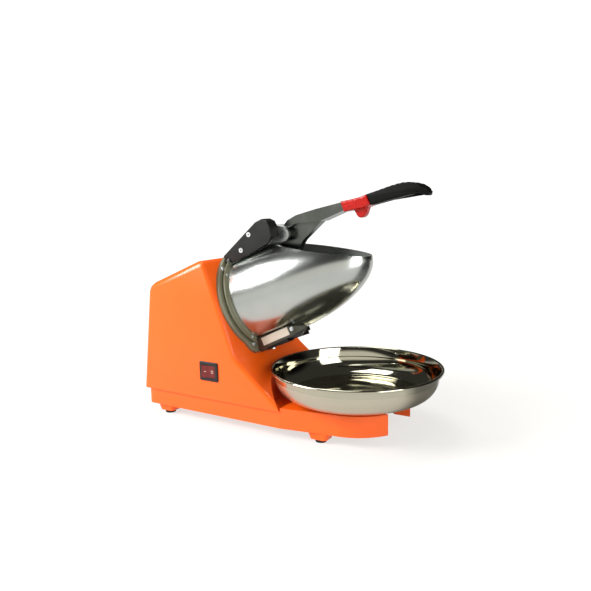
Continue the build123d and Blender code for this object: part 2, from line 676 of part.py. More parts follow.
def housing_screws():
    """Screws that hold the blade housing to the cover."""
    screw = Pos(0, 0, HOUSING_FLANGE) * pan_screw(HOUSING_SCREW_RADIUS, 3.6, 2.0, HOUSING_FLANGE + 8)
    return group([on_head(Pos(x, y) * screw) for x, y in housing_screw_places()])


def motor_screws():
    """Screws that hold the motor's front cap to the blade housing."""
    depth = CHAMBER_FLOOR - 2.5
    screw = Pos(0, 0, depth) * pan_screw(MOTOR_SCREW_RADIUS, MOTOR_SCREW_RADIUS * 1.8, 2.3, MOTOR_CAP + 2)
    return group([on_head(Pos(x, y) * screw) for x, y in motor_screw_places()])


# ---- Motor ----

MOTOR_FRONT = HOUSING_BACK
MOTOR_CASE_FRONT = MOTOR_FRONT - MOTOR_CAP
MOTOR_CASE_REAR = MOTOR_CASE_FRONT - MOTOR_LENGTH
MOTOR_REAR = MOTOR_CASE_REAR - MOTOR_CAP
CORE_MIDDLE = (MOTOR_CASE_FRONT + MOTOR_CASE_REAR) / 2
COIL_OUTER = MOTOR_RADIUS - MOTOR_WALL - 5
COIL_INNER = COIL_OUTER - 7
CORE_FRONT = CORE_MIDDLE + CORE_LENGTH / 2
CORE_REAR = CORE_MIDDLE - CORE_LENGTH / 2


def motor_case():
    """Drawn steel tube of the motor, with cooling slots at its rear end."""
    case = tube(MOTOR_RADIUS, MOTOR_RADIUS - MOTOR_WALL, MOTOR_CASE_REAR, MOTOR_CASE_FRONT)
    slot = block((0, MOTOR_RADIUS + 2), (-3, 3), (MOTOR_CASE_REAR + 4, MOTOR_CASE_REAR + 12))
    for cut in about_axis(slot, 8):
        case -= cut
    return on_head(case)


def motor_cap(low, high, bearing_low):
    """End cap with its spigot and bearing seat."""
    cap = cyl(MOTOR_RADIUS, low, high)
    cap -= cyl(SHAFT_RADIUS + 1.5, low - 1, high + 1)
    cap -= cyl(BEARING_RADIUS + FIT_GAP / 2, bearing_low, bearing_low + BEARING_WIDTH)
    return cap


def motor_front_cap():
    """Front end cap, tapped for the screws from the blade housing."""
    cap = motor_cap(MOTOR_CASE_FRONT, MOTOR_FRONT, MOTOR_CASE_FRONT)
    for x, y in motor_screw_places():
        cap -= Pos(x, y) * cyl(MOTOR_SCREW_RADIUS, MOTOR_CASE_FRONT - 1, MOTOR_FRONT + 1)
    return on_head(cap)


def motor_rear_cap():
    """Rear end cap with vent holes round the bearing."""
    cap = motor_cap(MOTOR_REAR, MOTOR_CASE_REAR, MOTOR_CASE_REAR - BEARING_WIDTH)
    hole = Pos(28, 0) * cyl(5, MOTOR_REAR - 1, MOTOR_CASE_REAR + 1)
    for cut in about_axis(hole, 8, 22.5):
        cap -= cut
    return on_head(cap)


def motor_bearing(low):
    """Bearing race ring with grooved faces."""
    ring = tube(BEARING_RADIUS, SHAFT_RADIUS + RUNNING_GAP, low, low + BEARING_WIDTH)
    groove = tube(BEARING_RADIUS - 2.5, SHAFT_RADIUS + 2.5, low - 1, low + 0.6)
    return on_head(ring - groove)


def stator_core():
    """Field core with two pole faces, tight in the motor case."""
    core = tube(MOTOR_RADIUS - MOTOR_WALL - FIT_GAP / 2, CORE_RADIUS + AIR_GAP, CORE_REAR, CORE_FRONT)
    for side in (-1, 1):
        window = block((-15, 15), (side * COIL_INNER, side * COIL_OUTER), (CORE_REAR - 1, CORE_FRONT + 1))
        core -= window
    return on_head(core)


def field_coils():
    """Two field windings in the windows of the stator core."""
    coils = []
    for side in (-1, 1):
        span = (side * (COIL_INNER + 2 * FIT_GAP), side * (COIL_OUTER - 2 * FIT_GAP))
        coil = block((-14.8, 14.8), span, (CORE_REAR - 6, CORE_FRONT + 6))
        coils.append(on_head(fillet(coil.edges().filter_by(Axis.Z), 2)))
    return group(coils)


def rotor_core():
    """Slotted rotor core on the shaft."""
    core = tube(CORE_RADIUS, SHAFT_RADIUS, CORE_REAR, CORE_FRONT)
    slot = block((CORE_RADIUS - 8, CORE_RADIUS + 1), (-1.2, 1.2), (CORE_REAR - 1, CORE_FRONT + 1))
    for cut in about_axis(slot, 12):
        core -= cut
    return on_head(core)


def commutator():
    """Commutator in front of the rotor core."""
    barrel = tube(COMMUTATOR_RADIUS, SHAFT_RADIUS, CORE_FRONT + 4, CORE_FRONT + 16)
    depth = (COMMUTATOR_RADIUS - 1, COMMUTATOR_RADIUS + 1)
    cut = block(depth, (-0.4, 0.4), (CORE_FRONT + 3, CORE_FRONT + 17))
    for slot in about_axis(cut, 16):
        barrel -= slot
    return on_head(barrel)


def brush_holders():
    """Two brush boxes that reach from the motor case to the commutator."""
    holders = []
    low = CORE_FRONT + 6.5
    for side in (-1, 1):
        span = (side * (COMMUTATOR_RADIUS + 0.6), side * (MOTOR_RADIUS - MOTOR_WALL - 2 * FIT_GAP))
        box = block(span, (-4, 4), (low, low + 7))
        holders.append(on_head(box))
    return group(holders)


def cooling_fan():
    """Fan at the rear end of the shaft."""
    low = MOTOR_CASE_REAR + 3
    hub = SHAFT_RADIUS + 4
    fan = tube(hub, SHAFT_RADIUS, low, low + 9) + tube(FAN_RADIUS, hub - 1, low, low + 1.6)
    blade = block((hub - 1, FAN_RADIUS - 1), (-0.8, 0.8), (low + 1, low + 9))
    for vane in about_axis(blade, 9):
        fan += vane
    return on_head(fan)


def motor_shaft():
    """Shaft from the rear bearing to the disc nut, stepped to seat the cutter disc."""
    front = DISC_BACK + DISC_THICKNESS + 8
    shaft = cyl(SHAFT_RADIUS, MOTOR_REAR + 1.2, DISC_BACK)
    shaft += cyl(SHAFT_RADIUS + 1.8, CHAMBER_FLOOR + 0.8, DISC_BACK)
    shaft += cyl(SHAFT_RADIUS - SHAFT_STEP, DISC_BACK - 0.1, front)
    return on_head(chamfer(shaft.edges().group_by(Axis.Z)[-1], 0.6))


# ---- Cutter ----

def blade_place(shape, index):
    """Place one blade or its screws on the disc."""
    turn = Rot(0, 0, 35 + 360 / BLADE_COUNT * index)
    return turn * Pos(DISC_RADIUS / 2 + 3, 0, DISC_BACK + DISC_THICKNESS) * shape


def blade_screw_offsets():
    """Places of one blade's screws along the blade."""
    return (-BLADE_LENGTH / 3, BLADE_LENGTH / 3)


def cutter_disc():
    """Cast disc with a slot in front of each blade and a hub on the shaft."""
    front = DISC_BACK + DISC_THICKNESS
    disc = tube(DISC_RADIUS, SHAFT_RADIUS - SHAFT_STEP, DISC_BACK, front)
    for index in range(BLADE_COUNT):
        slot = block((-BLADE_LENGTH / 2, BLADE_LENGTH / 2), (BLADE_WIDTH / 2, BLADE_WIDTH / 2 + 7), (-9, 9))
        disc -= blade_place(slot, index)
        for x in blade_screw_offsets():
            disc -= blade_place(Pos(x, -BLADE_WIDTH / 5) * cyl(BLADE_SCREW_RADIUS, -9, 9), index)
    return on_head(disc)


def shaving_blades():
    """Two blades, ground to an edge over the slots of the disc."""
    blades = []
    for index in range(BLADE_COUNT):
        points = [(-BLADE_WIDTH / 2, 0), (BLADE_WIDTH / 2 + 1.5, 0), (BLADE_WIDTH / 2 + 1.5, 0.3),
                  (BLADE_WIDTH / 2 - 3, BLADE_THICKNESS), (-BLADE_WIDTH / 2, BLADE_THICKNESS)]
        face = Plane.YZ * make_face(Polyline(*points, close=True))
        blade = extrude(face, BLADE_LENGTH / 2, both=True)
        for x in blade_screw_offsets():
            blade -= Pos(x, -BLADE_WIDTH / 5) * cyl(BLADE_SCREW_RADIUS, -1, 9)
        blades.append(on_head(blade_place(blade, index)))
    return group(blades)


def blade_screws():
    """Screws that hold the blades to the disc."""
    screws = []
    length = BLADE_THICKNESS + DISC_THICKNESS - 0.6
    screw = Pos(0, 0, BLADE_THICKNESS) * pan_screw(BLADE_SCREW_RADIUS, 2.8, 1.4, length)
    for index in range(BLADE_COUNT):
        for x in blade_screw_offsets():
            screws.append(on_head(blade_place(Pos(x, -BLADE_WIDTH / 5) * screw, index)))
    return group(screws)


def disc_nut():
    """Hexagon nut that holds the disc on the shaft."""
    front = DISC_BACK + DISC_THICKNESS
    nut = Pos(0, 0, front) * extrude(RegularPolygon(SHAFT_RADIUS + 2.5, 6), 5)
    return on_head(nut - cyl(SHAFT_RADIUS - SHAFT_STEP, front - 1, front + 6))


# ---- Hopper ----

def hopper_radius(out):
    """Outer radius of the hopper at a distance out from the housing's face."""
    reach = (out - HOPPER_STRAIGHT) / (HOPPER_NOSE - HOPPER_STRAIGHT)
    return HOPPER_ROOT_RADIUS * math.sqrt(1 - reach ** HOPPER_BLUNTNESS)


def hopper_screw_places():
    """Screws through the hopper's flange, in the head's frame."""
    places = []
    for angle in (53, 139, 221, 307):
        turn = math.radians(angle)
        places.append((HOPPER_SCREW_CIRCLE * math.cos(turn), HOPPER_SCREW_CIRCLE * math.sin(turn)))
    return places


def below_mouth(shape):
    """The part of a shape below the plane of the mouth."""
    slope = Rot(0, MOUTH_SLOPE, 0)
    cutter = Box(4 * LENGTH, 4 * LENGTH, LENGTH)
    corner = Pos(at(MOUTH_REAR_STATION), 0, MOUTH_REAR_HEIGHT)
    return shape - corner * slope * Pos(0, 0, LENGTH / 2) * cutter


def hopper():
    """Spun hopper: a blunt bullet about the head axis, open along its mouth."""
    low = HOUSING_DEPTH + FIT_GAP
    span = HOPPER_NOSE - HOPPER_STRAIGHT
    steps = (0.25, 0.45, 0.62, 0.76, 0.87, 0.95, 0.985)
    stations = [HOPPER_STRAIGHT + span * step for step in steps]
    outer_points = [(hopper_radius(z), z) for z in stations]
    inner_nose = HOPPER_NOSE - HOPPER_SHEET
    shrink = (inner_nose - HOPPER_STRAIGHT) / span
    inner_points = []
    for radius, out in outer_points:
        wall = HOPPER_SHEET * (radius / HOPPER_ROOT_RADIUS) ** 0.35
        inner_points.append((radius - wall, HOPPER_STRAIGHT + (out - HOPPER_STRAIGHT) * shrink))
    shell = spun(outer_points, HOPPER_ROOT_RADIUS, HOPPER_NOSE, low)
    shell -= spun(inner_points, HOPPER_ROOT_RADIUS - HOPPER_SHEET, inner_nose, low - 1)
    return below_mouth(on_head(shell + hopper_flange(low)))


def spun(points, root, nose, low):
    """Solid bullet through (radius, height) points, from a flat root to a round nose."""
    top = Spline((root, HOPPER_STRAIGHT), *points, (0, nose), tangents=((0, 1), (-1, 0)))
    side = Polyline((0, nose), (0, low), (root, low), (root, HOPPER_STRAIGHT))
    return revolve(Plane.XZ * make_face(top + side), Axis.Z)


def hopper_flange(low):
    """Flat flange at the hopper's root, drilled for its screws."""
    flange = tube(HOPPER_FLANGE_RADIUS, HOPPER_ROOT_RADIUS - HOPPER_SHEET, low, low + HOPPER_FLANGE)
    for x, y in hopper_screw_places():
        flange -= Pos(x, y) * cyl(HOPPER_SCREW_RADIUS + FIT_GAP, low - 1, low + HOPPER_FLANGE + 1)
    for x, y in bracket_screw_places():
        flange -= Pos(x, y) * cyl(HOPPER_SCREW_RADIUS + FIT_GAP, low - 1, low + HOPPER_FLANGE + 1)
    return flange - block((-LENGTH, -CHUTE_TOP + FIT_GAP), (-LENGTH, LENGTH), (0, 2 * low))


def hopper_screws():
    """Screws that hold the hopper's flange to the blade housing."""
    seat = HOUSING_DEPTH + FIT_GAP + HOPPER_FLANGE
    head = HOPPER_SCREW_HEAD_RADIUS
    screw = pan_screw(HOPPER_SCREW_RADIUS, head, HOPPER_SCREW_HEAD, HOPPER_FLANGE + 6)
    screw = Pos(0, 0, seat) * screw
    return group([on_head(Pos(x, y) * screw) for x, y in hopper_screw_places()])


# ---- Discharge chute and its guard ----

def discharge_chute():
    """Black channel, open below, that throws the shavings forward into the bowl."""
    rear = HOUSING_DEPTH + FIT_GAP
    outer_half = CHUTE_HALF_WIDTH
    outer = block((-CHUTE_BOTTOM, -CHUTE_TOP), (-outer_half, outer_half), (rear, CHUTE_END))
    inner_half = CHUTE_HALF_WIDTH - CHUTE_WALL
    inner_up = (-CHUTE_BOTTOM - 1, -CHUTE_TOP - CHUTE_WALL)
    inner = block(inner_up, (-inner_half, inner_half), (rear - 1, CHUTE_END + 1))
    return on_head(outer - inner)


def guard_hole():
    """Hole across the guard for its front screw."""
    out, up = GUARD_SCREW_PLACE
    reach = 2 * GUARD_HALF_WIDTH
    return Pos(up, 0, out) * Rot(90, 0, 0) * cyl(GUARD_SCREW_RADIUS, -reach, reach)


def discharge_guard():
    """Bent sheet guard: a long plate on the switch side, a short one on the far side, a strap under both."""
    strap_top = HOUSING_FLAT + FIT_GAP
    rear = HOUSING_DEPTH + HOPPER_FLANGE + 0.4
    low = -strap_top - GUARD_SHEET
    side = [
        (rear, low + 21), (72.0, low + 23.5), (GUARD_END, low + 16.6), (GUARD_END, low + 13),
        (76.0, low + 8.5), (26.0, low + 3), (24.0, low), (rear, low),
    ]
    guard = head_plate(side, GUARD_HALF_WIDTH - GUARD_SHEET, GUARD_HALF_WIDTH)
    far_side = [
        (rear, low + 21), (GUARD_FAR_END, low + 22.8), (GUARD_FAR_END, low + 7), (26.0, low + 3), (24.0, low),
        (rear, low),
    ]
    guard += head_plate(far_side, -GUARD_HALF_WIDTH, -GUARD_HALF_WIDTH + GUARD_SHEET)
    strap = (low, -strap_top)
    guard += block(strap, (-GUARD_HALF_WIDTH, GUARD_HALF_WIDTH), (rear, 24))
    guard += block(strap, (-12, 12), (GUARD_BOLT_OUT - 5, rear + 0.1))
    guard -= guard_bolt_place() * cyl(GUARD_BOLT_RADIUS + FIT_GAP, -5, 5)
    return on_head(guard - guard_hole())


def deflector_cheek():
    """Black cheek inside the guard's long side plate, hanging below its front end."""
    tip = GUARD_END + 1.5
    low = -HOUSING_FLAT
    outline = [
        (62.0, low + 18), (tip - 5.5, low + 15.5), (tip, low + 12.7), (88.0, low + 2), (62.0, low + 6),
    ]
    outer = GUARD_HALF_WIDTH - GUARD_SHEET
    return on_head(head_plate(outline, outer - CHEEK_THICKNESS, outer) - guard_hole())


def guard_screw():
    """Screw from inside, and its nut, through the cheek and the guard's long side plate."""
    out, up = GUARD_SCREW_PLACE
    inside = GUARD_HALF_WIDTH - GUARD_SHEET - CHEEK_THICKNESS
    grip = GUARD_SHEET + CHEEK_THICKNESS
    screw = Rot(180, 0, 0) * pan_screw(GUARD_SCREW_RADIUS, 3.0, 1.8, grip + 3.6)
    nut = Pos(0, 0, grip) * extrude(RegularPolygon(3.4, 6), 2.6) - cyl(GUARD_SCREW_RADIUS, 0, 2 * grip)
    place = Pos(up, inside, out) * Rot(-90, 0, 0)
    return group([on_head(place * screw), on_head(place * nut)])


def guard_bolt():
    """Hexagon bolt up through the guard's strap and the housing's lip, with its nut."""
    under_strap = FIT_GAP + GUARD_SHEET
    bolt = Pos(0, 0, -under_strap) * extrude(RegularPolygon(GUARD_BOLT_KEY, 6), -2.8)
    bolt += cyl(GUARD_BOLT_RADIUS, -under_strap - 0.1, TAB_LIP + 3.4)
    nut = Pos(0, 0, TAB_LIP) * extrude(RegularPolygon(GUARD_BOLT_KEY, 6), 3)
    nut -= cyl(GUARD_BOLT_RADIUS, 0, 2 * TAB_LIP + 3)
    place = guard_bolt_place()
    return group([on_head(place * bolt), on_head(place * nut)])


def label_plate():
    """Bare label strip on the switch side of the guard."""
    strip = Box(LABEL_HEIGHT, LABEL_THICKNESS, LABEL_LENGTH)
    place = Pos(LABEL_UP, GUARD_HALF_WIDTH + LABEL_THICKNESS / 2, LABEL_OUT) * Rot(0, LABEL_TILT, 0)
    return on_head(place * strip)


# ---- Lever hinge ----

BRACKET_INSIDE = LEVER_HALF_WIDTH + BRACKET_GAP
BRACKET_OUTSIDE = BRACKET_INSIDE + BRACKET_SIDE
COVER_OUTSIDE = BRACKET_OUTSIDE + SWITCH_COVER_DEPTH
SADDLE_LOW_RADIUS = HOPPER_ROOT_RADIUS + SADDLE_GAP
PAD_LOW = HOUSING_DEPTH + FIT_GAP + HOPPER_FLANGE + FIT_GAP
PAD_HIGH = PAD_LOW + 4.5


def bracket_screw_places():
    """Screws through the bracket's pad, in the head's frame."""
    turn = math.radians(BRACKET_SCREW_ANGLE)
    x = HOPPER_SCREW_CIRCLE * math.cos(turn)
    y = HOPPER_SCREW_CIRCLE * math.sin(turn)
    return [(x, -y), (x, y)]


def rivet_places():
    """Frames of the two rivets, their Z on the switch side."""
    return [Pos(up, 0, out) * Rot(-90, 0, 0) for out, up in RIVET_PLACES]


def at_pivot(shape):
    """Put a shape built about Z on the lever's pivot, its +Z on the switch side."""
    return Pos(PIVOT_UP, 0, PIVOT_OUT) * Rot(-90, 0, 0) * shape


def hinge_bracket():
    """Casting that saddles the hopper's top and carries the lever between two ears."""
    sector = [(0, 0), (120, -90), (120, 90)]
    wedge = extrude(make_face(Polyline(*sector, close=True)), 2 * LENGTH)
    saddle = tube(SADDLE_LOW_RADIUS + SADDLE_THICKNESS, SADDLE_LOW_RADIUS, PAD_LOW, SADDLE_END) & wedge
    trim = [(0, PIVOT_UP - 15), (SADDLE_END + 1, PIVOT_UP - 7.6), (SADDLE_END + 1, LENGTH), (0, LENGTH)]
    saddle &= head_plate(trim, -LENGTH, LENGTH)
    pad = tube(HOPPER_FLANGE_RADIUS + 4, SADDLE_LOW_RADIUS, PAD_LOW, PAD_HIGH) & wedge
    pad &= head_plate(trim, -LENGTH, LENGTH)
    side = [
        (PAD_LOW, SADDLE_LOW_RADIUS - 2),
        (PAD_LOW, PIVOT_UP + 5.4),
        (78.0, PIVOT_UP + 24.4),
        (92.0, PIVOT_UP + 20.4),
        (PIVOT_OUT + 3, PIVOT_UP + BRACKET_EAR_RADIUS - 0.6),
        (PIVOT_OUT - 2, PIVOT_UP - BRACKET_EAR_RADIUS + 0.5),
        (SADDLE_END, SADDLE_LOW_RADIUS - 1.5),
    ]
    bracket = saddle + pad
    for low in (BRACKET_INSIDE, -BRACKET_OUTSIDE):
        bracket += head_plate(side, low, low + BRACKET_SIDE)
        bracket += at_pivot(cyl(BRACKET_EAR_RADIUS, low, low + BRACKET_SIDE))
    web_top = PIVOT_UP + 13
    web = [(46.0, SADDLE_LOW_RADIUS + 1), (46.0, web_top), (51.0, web_top), (51.0, SADDLE_LOW_RADIUS + 1)]
    bracket += head_plate(web, -BRACKET_INSIDE - 1, BRACKET_INSIDE + 1)
    bracket -= cyl(HOPPER_ROOT_RADIUS + SADDLE_GAP, 0, SADDLE_END + 4)
    bracket -= at_pivot(cyl(PIN_RADIUS, -LENGTH, LENGTH))
    for x, y in bracket_screw_places():
        bracket -= Pos(x, y) * cyl(HOPPER_SCREW_RADIUS + FIT_GAP, PAD_LOW - 1, PAD_HIGH + 1)
        bracket -= Pos(x, y) * cyl(HOPPER_SCREW_HEAD_RADIUS + 0.4, PAD_HIGH, PAD_HIGH + 3)
    hole = cyl(PLUNGER_RADIUS + FIT_GAP, BRACKET_INSIDE - 1, BRACKET_OUTSIDE + 1)
    bracket -= plunger_place(hole)
    for rivet in rivet_places():
        bracket -= rivet * cyl(RIVET_RADIUS, BRACKET_INSIDE - 1, BRACKET_OUTSIDE + 1)
        bracket -= rivet * cyl(RIVET_RADIUS + 1.2, BRACKET_INSIDE - 1.2, BRACKET_INSIDE)
        bracket -= rivet * cyl(RIVET_RADIUS + 2.4, BRACKET_OUTSIDE, COVER_OUTSIDE)
    return on_head(bracket)


def bracket_screws():
    """Screws through the bracket's pad and the hopper's flange into the housing."""
    length = PAD_HIGH - HOUSING_DEPTH + 7
    screw = pan_screw(HOPPER_SCREW_RADIUS, HOPPER_SCREW_HEAD_RADIUS, HOPPER_SCREW_HEAD, length)
    screw = Pos(0, 0, PAD_HIGH) * screw
    return group([on_head(Pos(x, y) * screw) for x, y in bracket_screw_places()])


def plunger_place(shape):
    """Put a shape built about Z beside the pivot, behind it, its +Z on the switch side."""
    return Pos(PIVOT_UP + PLUNGER_RISE, 0, PIVOT_OUT - PLUNGER_BACK) * Rot(-90, 0, 0) * shape


def micro_switch():
    """Safety switch on the outside of the bracket, which stops the cutter under a raised lever."""
    low = BRACKET_OUTSIDE + FIT_GAP
    front = PIVOT_OUT - PLUNGER_BACK + PLUNGER_RADIUS + 0.5
    bottom = PIVOT_UP + PLUNGER_RISE - PLUNGER_RADIUS - 1.6
    body = block((bottom, bottom + 13), (low, low + 9), (front - 20, front))
    body -= plunger_place(cyl(PLUNGER_RADIUS + FIT_GAP, low - 1, low + 6))
    for out, up in ((front - 16, bottom + 3), (front - 7, bottom + 10)):
        body -= Pos(up, 0, out) * Rot(90, 0, 0) * Cylinder(1.5, 100)
    return on_head(body)


def switch_plunger():
    """Sprung plunger that faces the cam on the lever's barrel."""
    tip = LEVER_HALF_WIDTH + PLUNGER_GAP
    tail = BRACKET_OUTSIDE + FIT_GAP + 6 - PLUNGER_TRAVEL - 0.3
    return on_head(plunger_place(cyl(PLUNGER_RADIUS, tip, tail)))


def switch_cover():
    """Black moulded cover over the safety switch, open towards the bracket and the hopper."""
    inside = BRACKET_OUTSIDE + 0.3
    rear = HOUSING_FLANGE + 0.5
    wall = SWITCH_COVER_WALL
    base = PIVOT_UP - 11.1
    top = PIVOT_UP + 30
    outline = [
        (PAD_HIGH - 4, base - 3), (PAD_HIGH - 4, base), (rear, base), (rear, base + 14), (80.0, top - 0.5),
        (93.0, top), (100.0, top - 6.6), (101.0, top - 13.6), (98.4, top - 29.6), (92.0, top - 35.6),
    ]
    cover = head_plate(outline, inside, COVER_OUTSIDE)
    across = cover.edges().filter_by(Axis.Y)
    nose = across.filter_by(lambda e: e.center().Z > 79 and e.center().X > base + 8)
    cover = fillet(nose, 3)
    room = [
        (rear + wall, 0), (rear + wall, base + 12.5), (79.0, top - wall), (92.0, top - wall),
        (99.5 - wall, top - 8.6), (100.0 - wall, top - 14.6), (98.6 - wall, top - 25.6), (98.4 - wall, 0),
    ]
    cover -= head_plate(room, inside - 1, COVER_OUTSIDE - wall)
    rim = cover.faces().sort_by(Axis.Y)[-1].outer_wire().edges()
    cover = fillet(rim, 1.2)
    for rivet in rivet_places():
        cover += rivet * cyl(RIVET_RADIUS + 2, inside, COVER_OUTSIDE - wall / 2)
        cover -= rivet * cyl(RIVET_RADIUS, 0, COVER_OUTSIDE + 1)
    cover -= cyl(SADDLE_LOW_RADIUS + SADDLE_THICKNESS + SADDLE_GAP, 0, 2 * LENGTH)
    cover -= cyl(HOUSING_LAND_RADIUS + SADDLE_GAP, 0, PAD_LOW)
    cover -= cyl(HOPPER_FLANGE_RADIUS + 4.5, PAD_LOW - 2.5, PAD_HIGH + 0.4)
    return on_head(cover)


def cover_rivets():
    """Hollow rivets that hold the switch cover to the bracket."""
    bore = RIVET_RADIUS - 0.9
    rivet = tube(RIVET_RADIUS, bore, BRACKET_INSIDE - 0.8, COVER_OUTSIDE + 0.1)
    rivet += tube(RIVET_RADIUS + 1.6, bore, COVER_OUTSIDE, COVER_OUTSIDE + 0.9)
    rivet += tube(RIVET_RADIUS + 0.7, bore, BRACKET_INSIDE - 0.9, BRACKET_INSIDE - 0.1)
    return group([on_head(place * rivet) for place in rivet_places()])


def hinge_pin():
    """Headed pin through the bracket's ears and the lever's barrel."""
    pin = cyl(PIN_RADIUS, -BRACKET_OUTSIDE - 3, BRACKET_OUTSIDE + 0.5)
    pin += cyl(PIN_HEAD_RADIUS, BRACKET_OUTSIDE + 0.1, BRACKET_OUTSIDE + 2.1)
    groove = tube(PIN_RADIUS + 1, PIN_RADIUS - 0.8, -BRACKET_OUTSIDE - 1.5, -BRACKET_OUTSIDE - 0.3)
    return on_head(at_pivot(pin - groove))


def pin_clip():
    """Snap ring in the groove of the hinge pin."""
    low = -BRACKET_OUTSIDE - 1.4
    ring = tube(PIN_RADIUS + 2.4, PIN_RADIUS - 0.7, low, low + 1)
    gap = block((0, 20), (-2.4, 2.4), (low - 1, low + 2))
    return on_head(at_pivot(ring - gap))


# ---- Lever ----
# Outlines are (x, z) distances from the pivot.

JOIN_TOP = (128.6, 55.5)
JOIN_BOTTOM = (134.8, 40.6)
GRIP_END_RADIUS = 12.0
TANG_START = (78.0, 35.4)
TANG_END = (176.0, 57.6)
TANG_HALF_HEIGHT = 3.6
TANG_HALF_WIDTH = 7.0
STEM_HALF = 10.0


def from_pivot(points):
    """Side-view points measured from the pivot, in the model's frame."""
    return [(PIVOT_X + x, PIVOT_Z + z) for x, z in points]


def tang(extra):
    """Bar inside the guard and the grip, grown by a clearance."""
    dx = TANG_END[0] - TANG_START[0]
    dz = TANG_END[1] - TANG_START[1]
    span = math.hypot(dx, dz)
    nx = -dz / span * (TANG_HALF_HEIGHT + extra)
    nz = dx / span * (TANG_HALF_HEIGHT + extra)
    end = (TANG_END[0] + dx / span * extra, TANG_END[1] + dz / span * extra)
    points = [
        (TANG_START[0] + nx, TANG_START[1] + nz), (end[0] + nx, end[1] + nz),
        (end[0] - nx, end[1] - nz), (TANG_START[0] - nx, TANG_START[1] - nz),
    ]
    return side_plate(from_pivot(points), TANG_HALF_WIDTH + extra)


def stem_end():
    """The two corners of the stem's end, square on the press plate's boss, from the pivot."""
    out = PRESS_OUT + PRESS_THICKNESS + PRESS_BOSS_HEIGHT - PIVOT_OUT
    corners = []
    for up in (PRESS_UP + STEM_HALF, PRESS_UP - STEM_HALF):
        rise = up - PIVOT_UP
        corners.append((out * LEAN_COS - rise * LEAN_SIN, out * LEAN_SIN + rise * LEAN_COS))
    return corners


def lever_arm():
    """Cast lever: barrel, top rail, web and the stem that reaches down into the hopper."""
    rail = [
        (-4.0, 12.0), (2.0, 20.0), (17.0, 27.5), (50.0, 36.2), (91.4, 45.2),
        (95.9, 34.4), (57.0, 18.8), (36.0, 17.4), (15.5, 15.4), (5.0, 9.0),
    ]
    web = [
        (-8.0, -8.5), (-6.0, 8.0), (5.0, 14.0), (57.0, 20.0),
        (55.0, 17.5), (25.5, -8.6), (18.5, -19.0), (8.0, -45.0),
    ]
    upper_corner, lower_corner = stem_end()
    arm = side_plate(from_pivot(rail), RAIL_HALF_WIDTH)
    arm += side_plate(from_pivot(web + [lower_corner, upper_corner]), WEB_HALF_WIDTH)
    arm += tang(0)
    arm += on_head(at_pivot(cyl(BARREL_RADIUS, -LEVER_HALF_WIDTH, LEVER_HALF_WIDTH)))
    arm += on_head(at_pivot(switch_cam()))
    arm -= on_head(at_pivot(cyl(PIN_RADIUS + RUNNING_GAP, -LENGTH, LENGTH)))
    arm -= on_head(Pos(PRESS_UP, 0, 0) * cyl(3, 0, PRESS_OUT + PRESS_THICKNESS + PRESS_BOSS_HEIGHT + 12))
    return arm


def switch_cam():
    """Lug behind the barrel that faces the safety switch's plunger while the lever is down."""
    width = 6
    disc = cyl(CAM_RADIUS, LEVER_HALF_WIDTH - width, LEVER_HALF_WIDTH)
    return disc & block((-6, 8), (0, CAM_RADIUS), (0, LENGTH))


def press_plate():
    """Round plate with ribs below and a boss above, which pushes the ice onto the cutter."""
    low = PRESS_OUT
    plate = cyl(PRESS_RADIUS, low, low + PRESS_THICKNESS)
    plate = fillet(plate.edges().group_by(Axis.Z)[-1], 1.5)
    plate += cyl(PRESS_BOSS_RADIUS, low, low + PRESS_THICKNESS + PRESS_BOSS_HEIGHT)
    for index in range(-3, 4):
        if index != 0:
            x = PRESS_RIB_SPACING * index
            rib = block((x - 1.2, x + 1.2), (-PRESS_RADIUS, PRESS_RADIUS), (low - 2.5, low + 0.1))
            plate += rib & cyl(PRESS_RADIUS - 2, low - 3, low + 1)
    plate -= cyl(3, low - 5, low + 30)
    return on_head(Pos(PRESS_UP, 0) * plate)


def press_screw():
    """Screw from below that holds the press plate to the stem."""
    low = PRESS_OUT
    reach = PRESS_THICKNESS + PRESS_BOSS_HEIGHT + 11
    screw = Rot(180, 0, 0) * pan_screw(3, 5, 2.4, reach)
    return on_head(Pos(PRESS_UP, 0, low) * screw)


def hand_guard():
    """Red moulded sleeve on the lever, with the lug that keeps a hand off the hopper."""
    outline = [
        (89.9, 46.3), (104.4, 48.8), (119.4, 52.1), JOIN_TOP, JOIN_BOTTOM, (128.9, 38.7), (124.4, 29.9),
        (120.4, 25.5), (114.9, 25.7), (110.9, 30.4), (106.4, 35.3), (95.4, 32.5),
    ]
    guard = side_plate(from_pivot(outline), HAND_GUARD_HALF_WIDTH)
    guard = fillet(guard.edges().filter_by(Axis.Y), 1.0)
    socket = [(83.4, 43.7), (91.6, 45.5), (96.2, 34.3), (83.4, 28.7)]
    guard -= side_plate(from_pivot(socket), RAIL_HALF_WIDTH + FIT_GAP)
    return guard - tang(FIT_GAP)


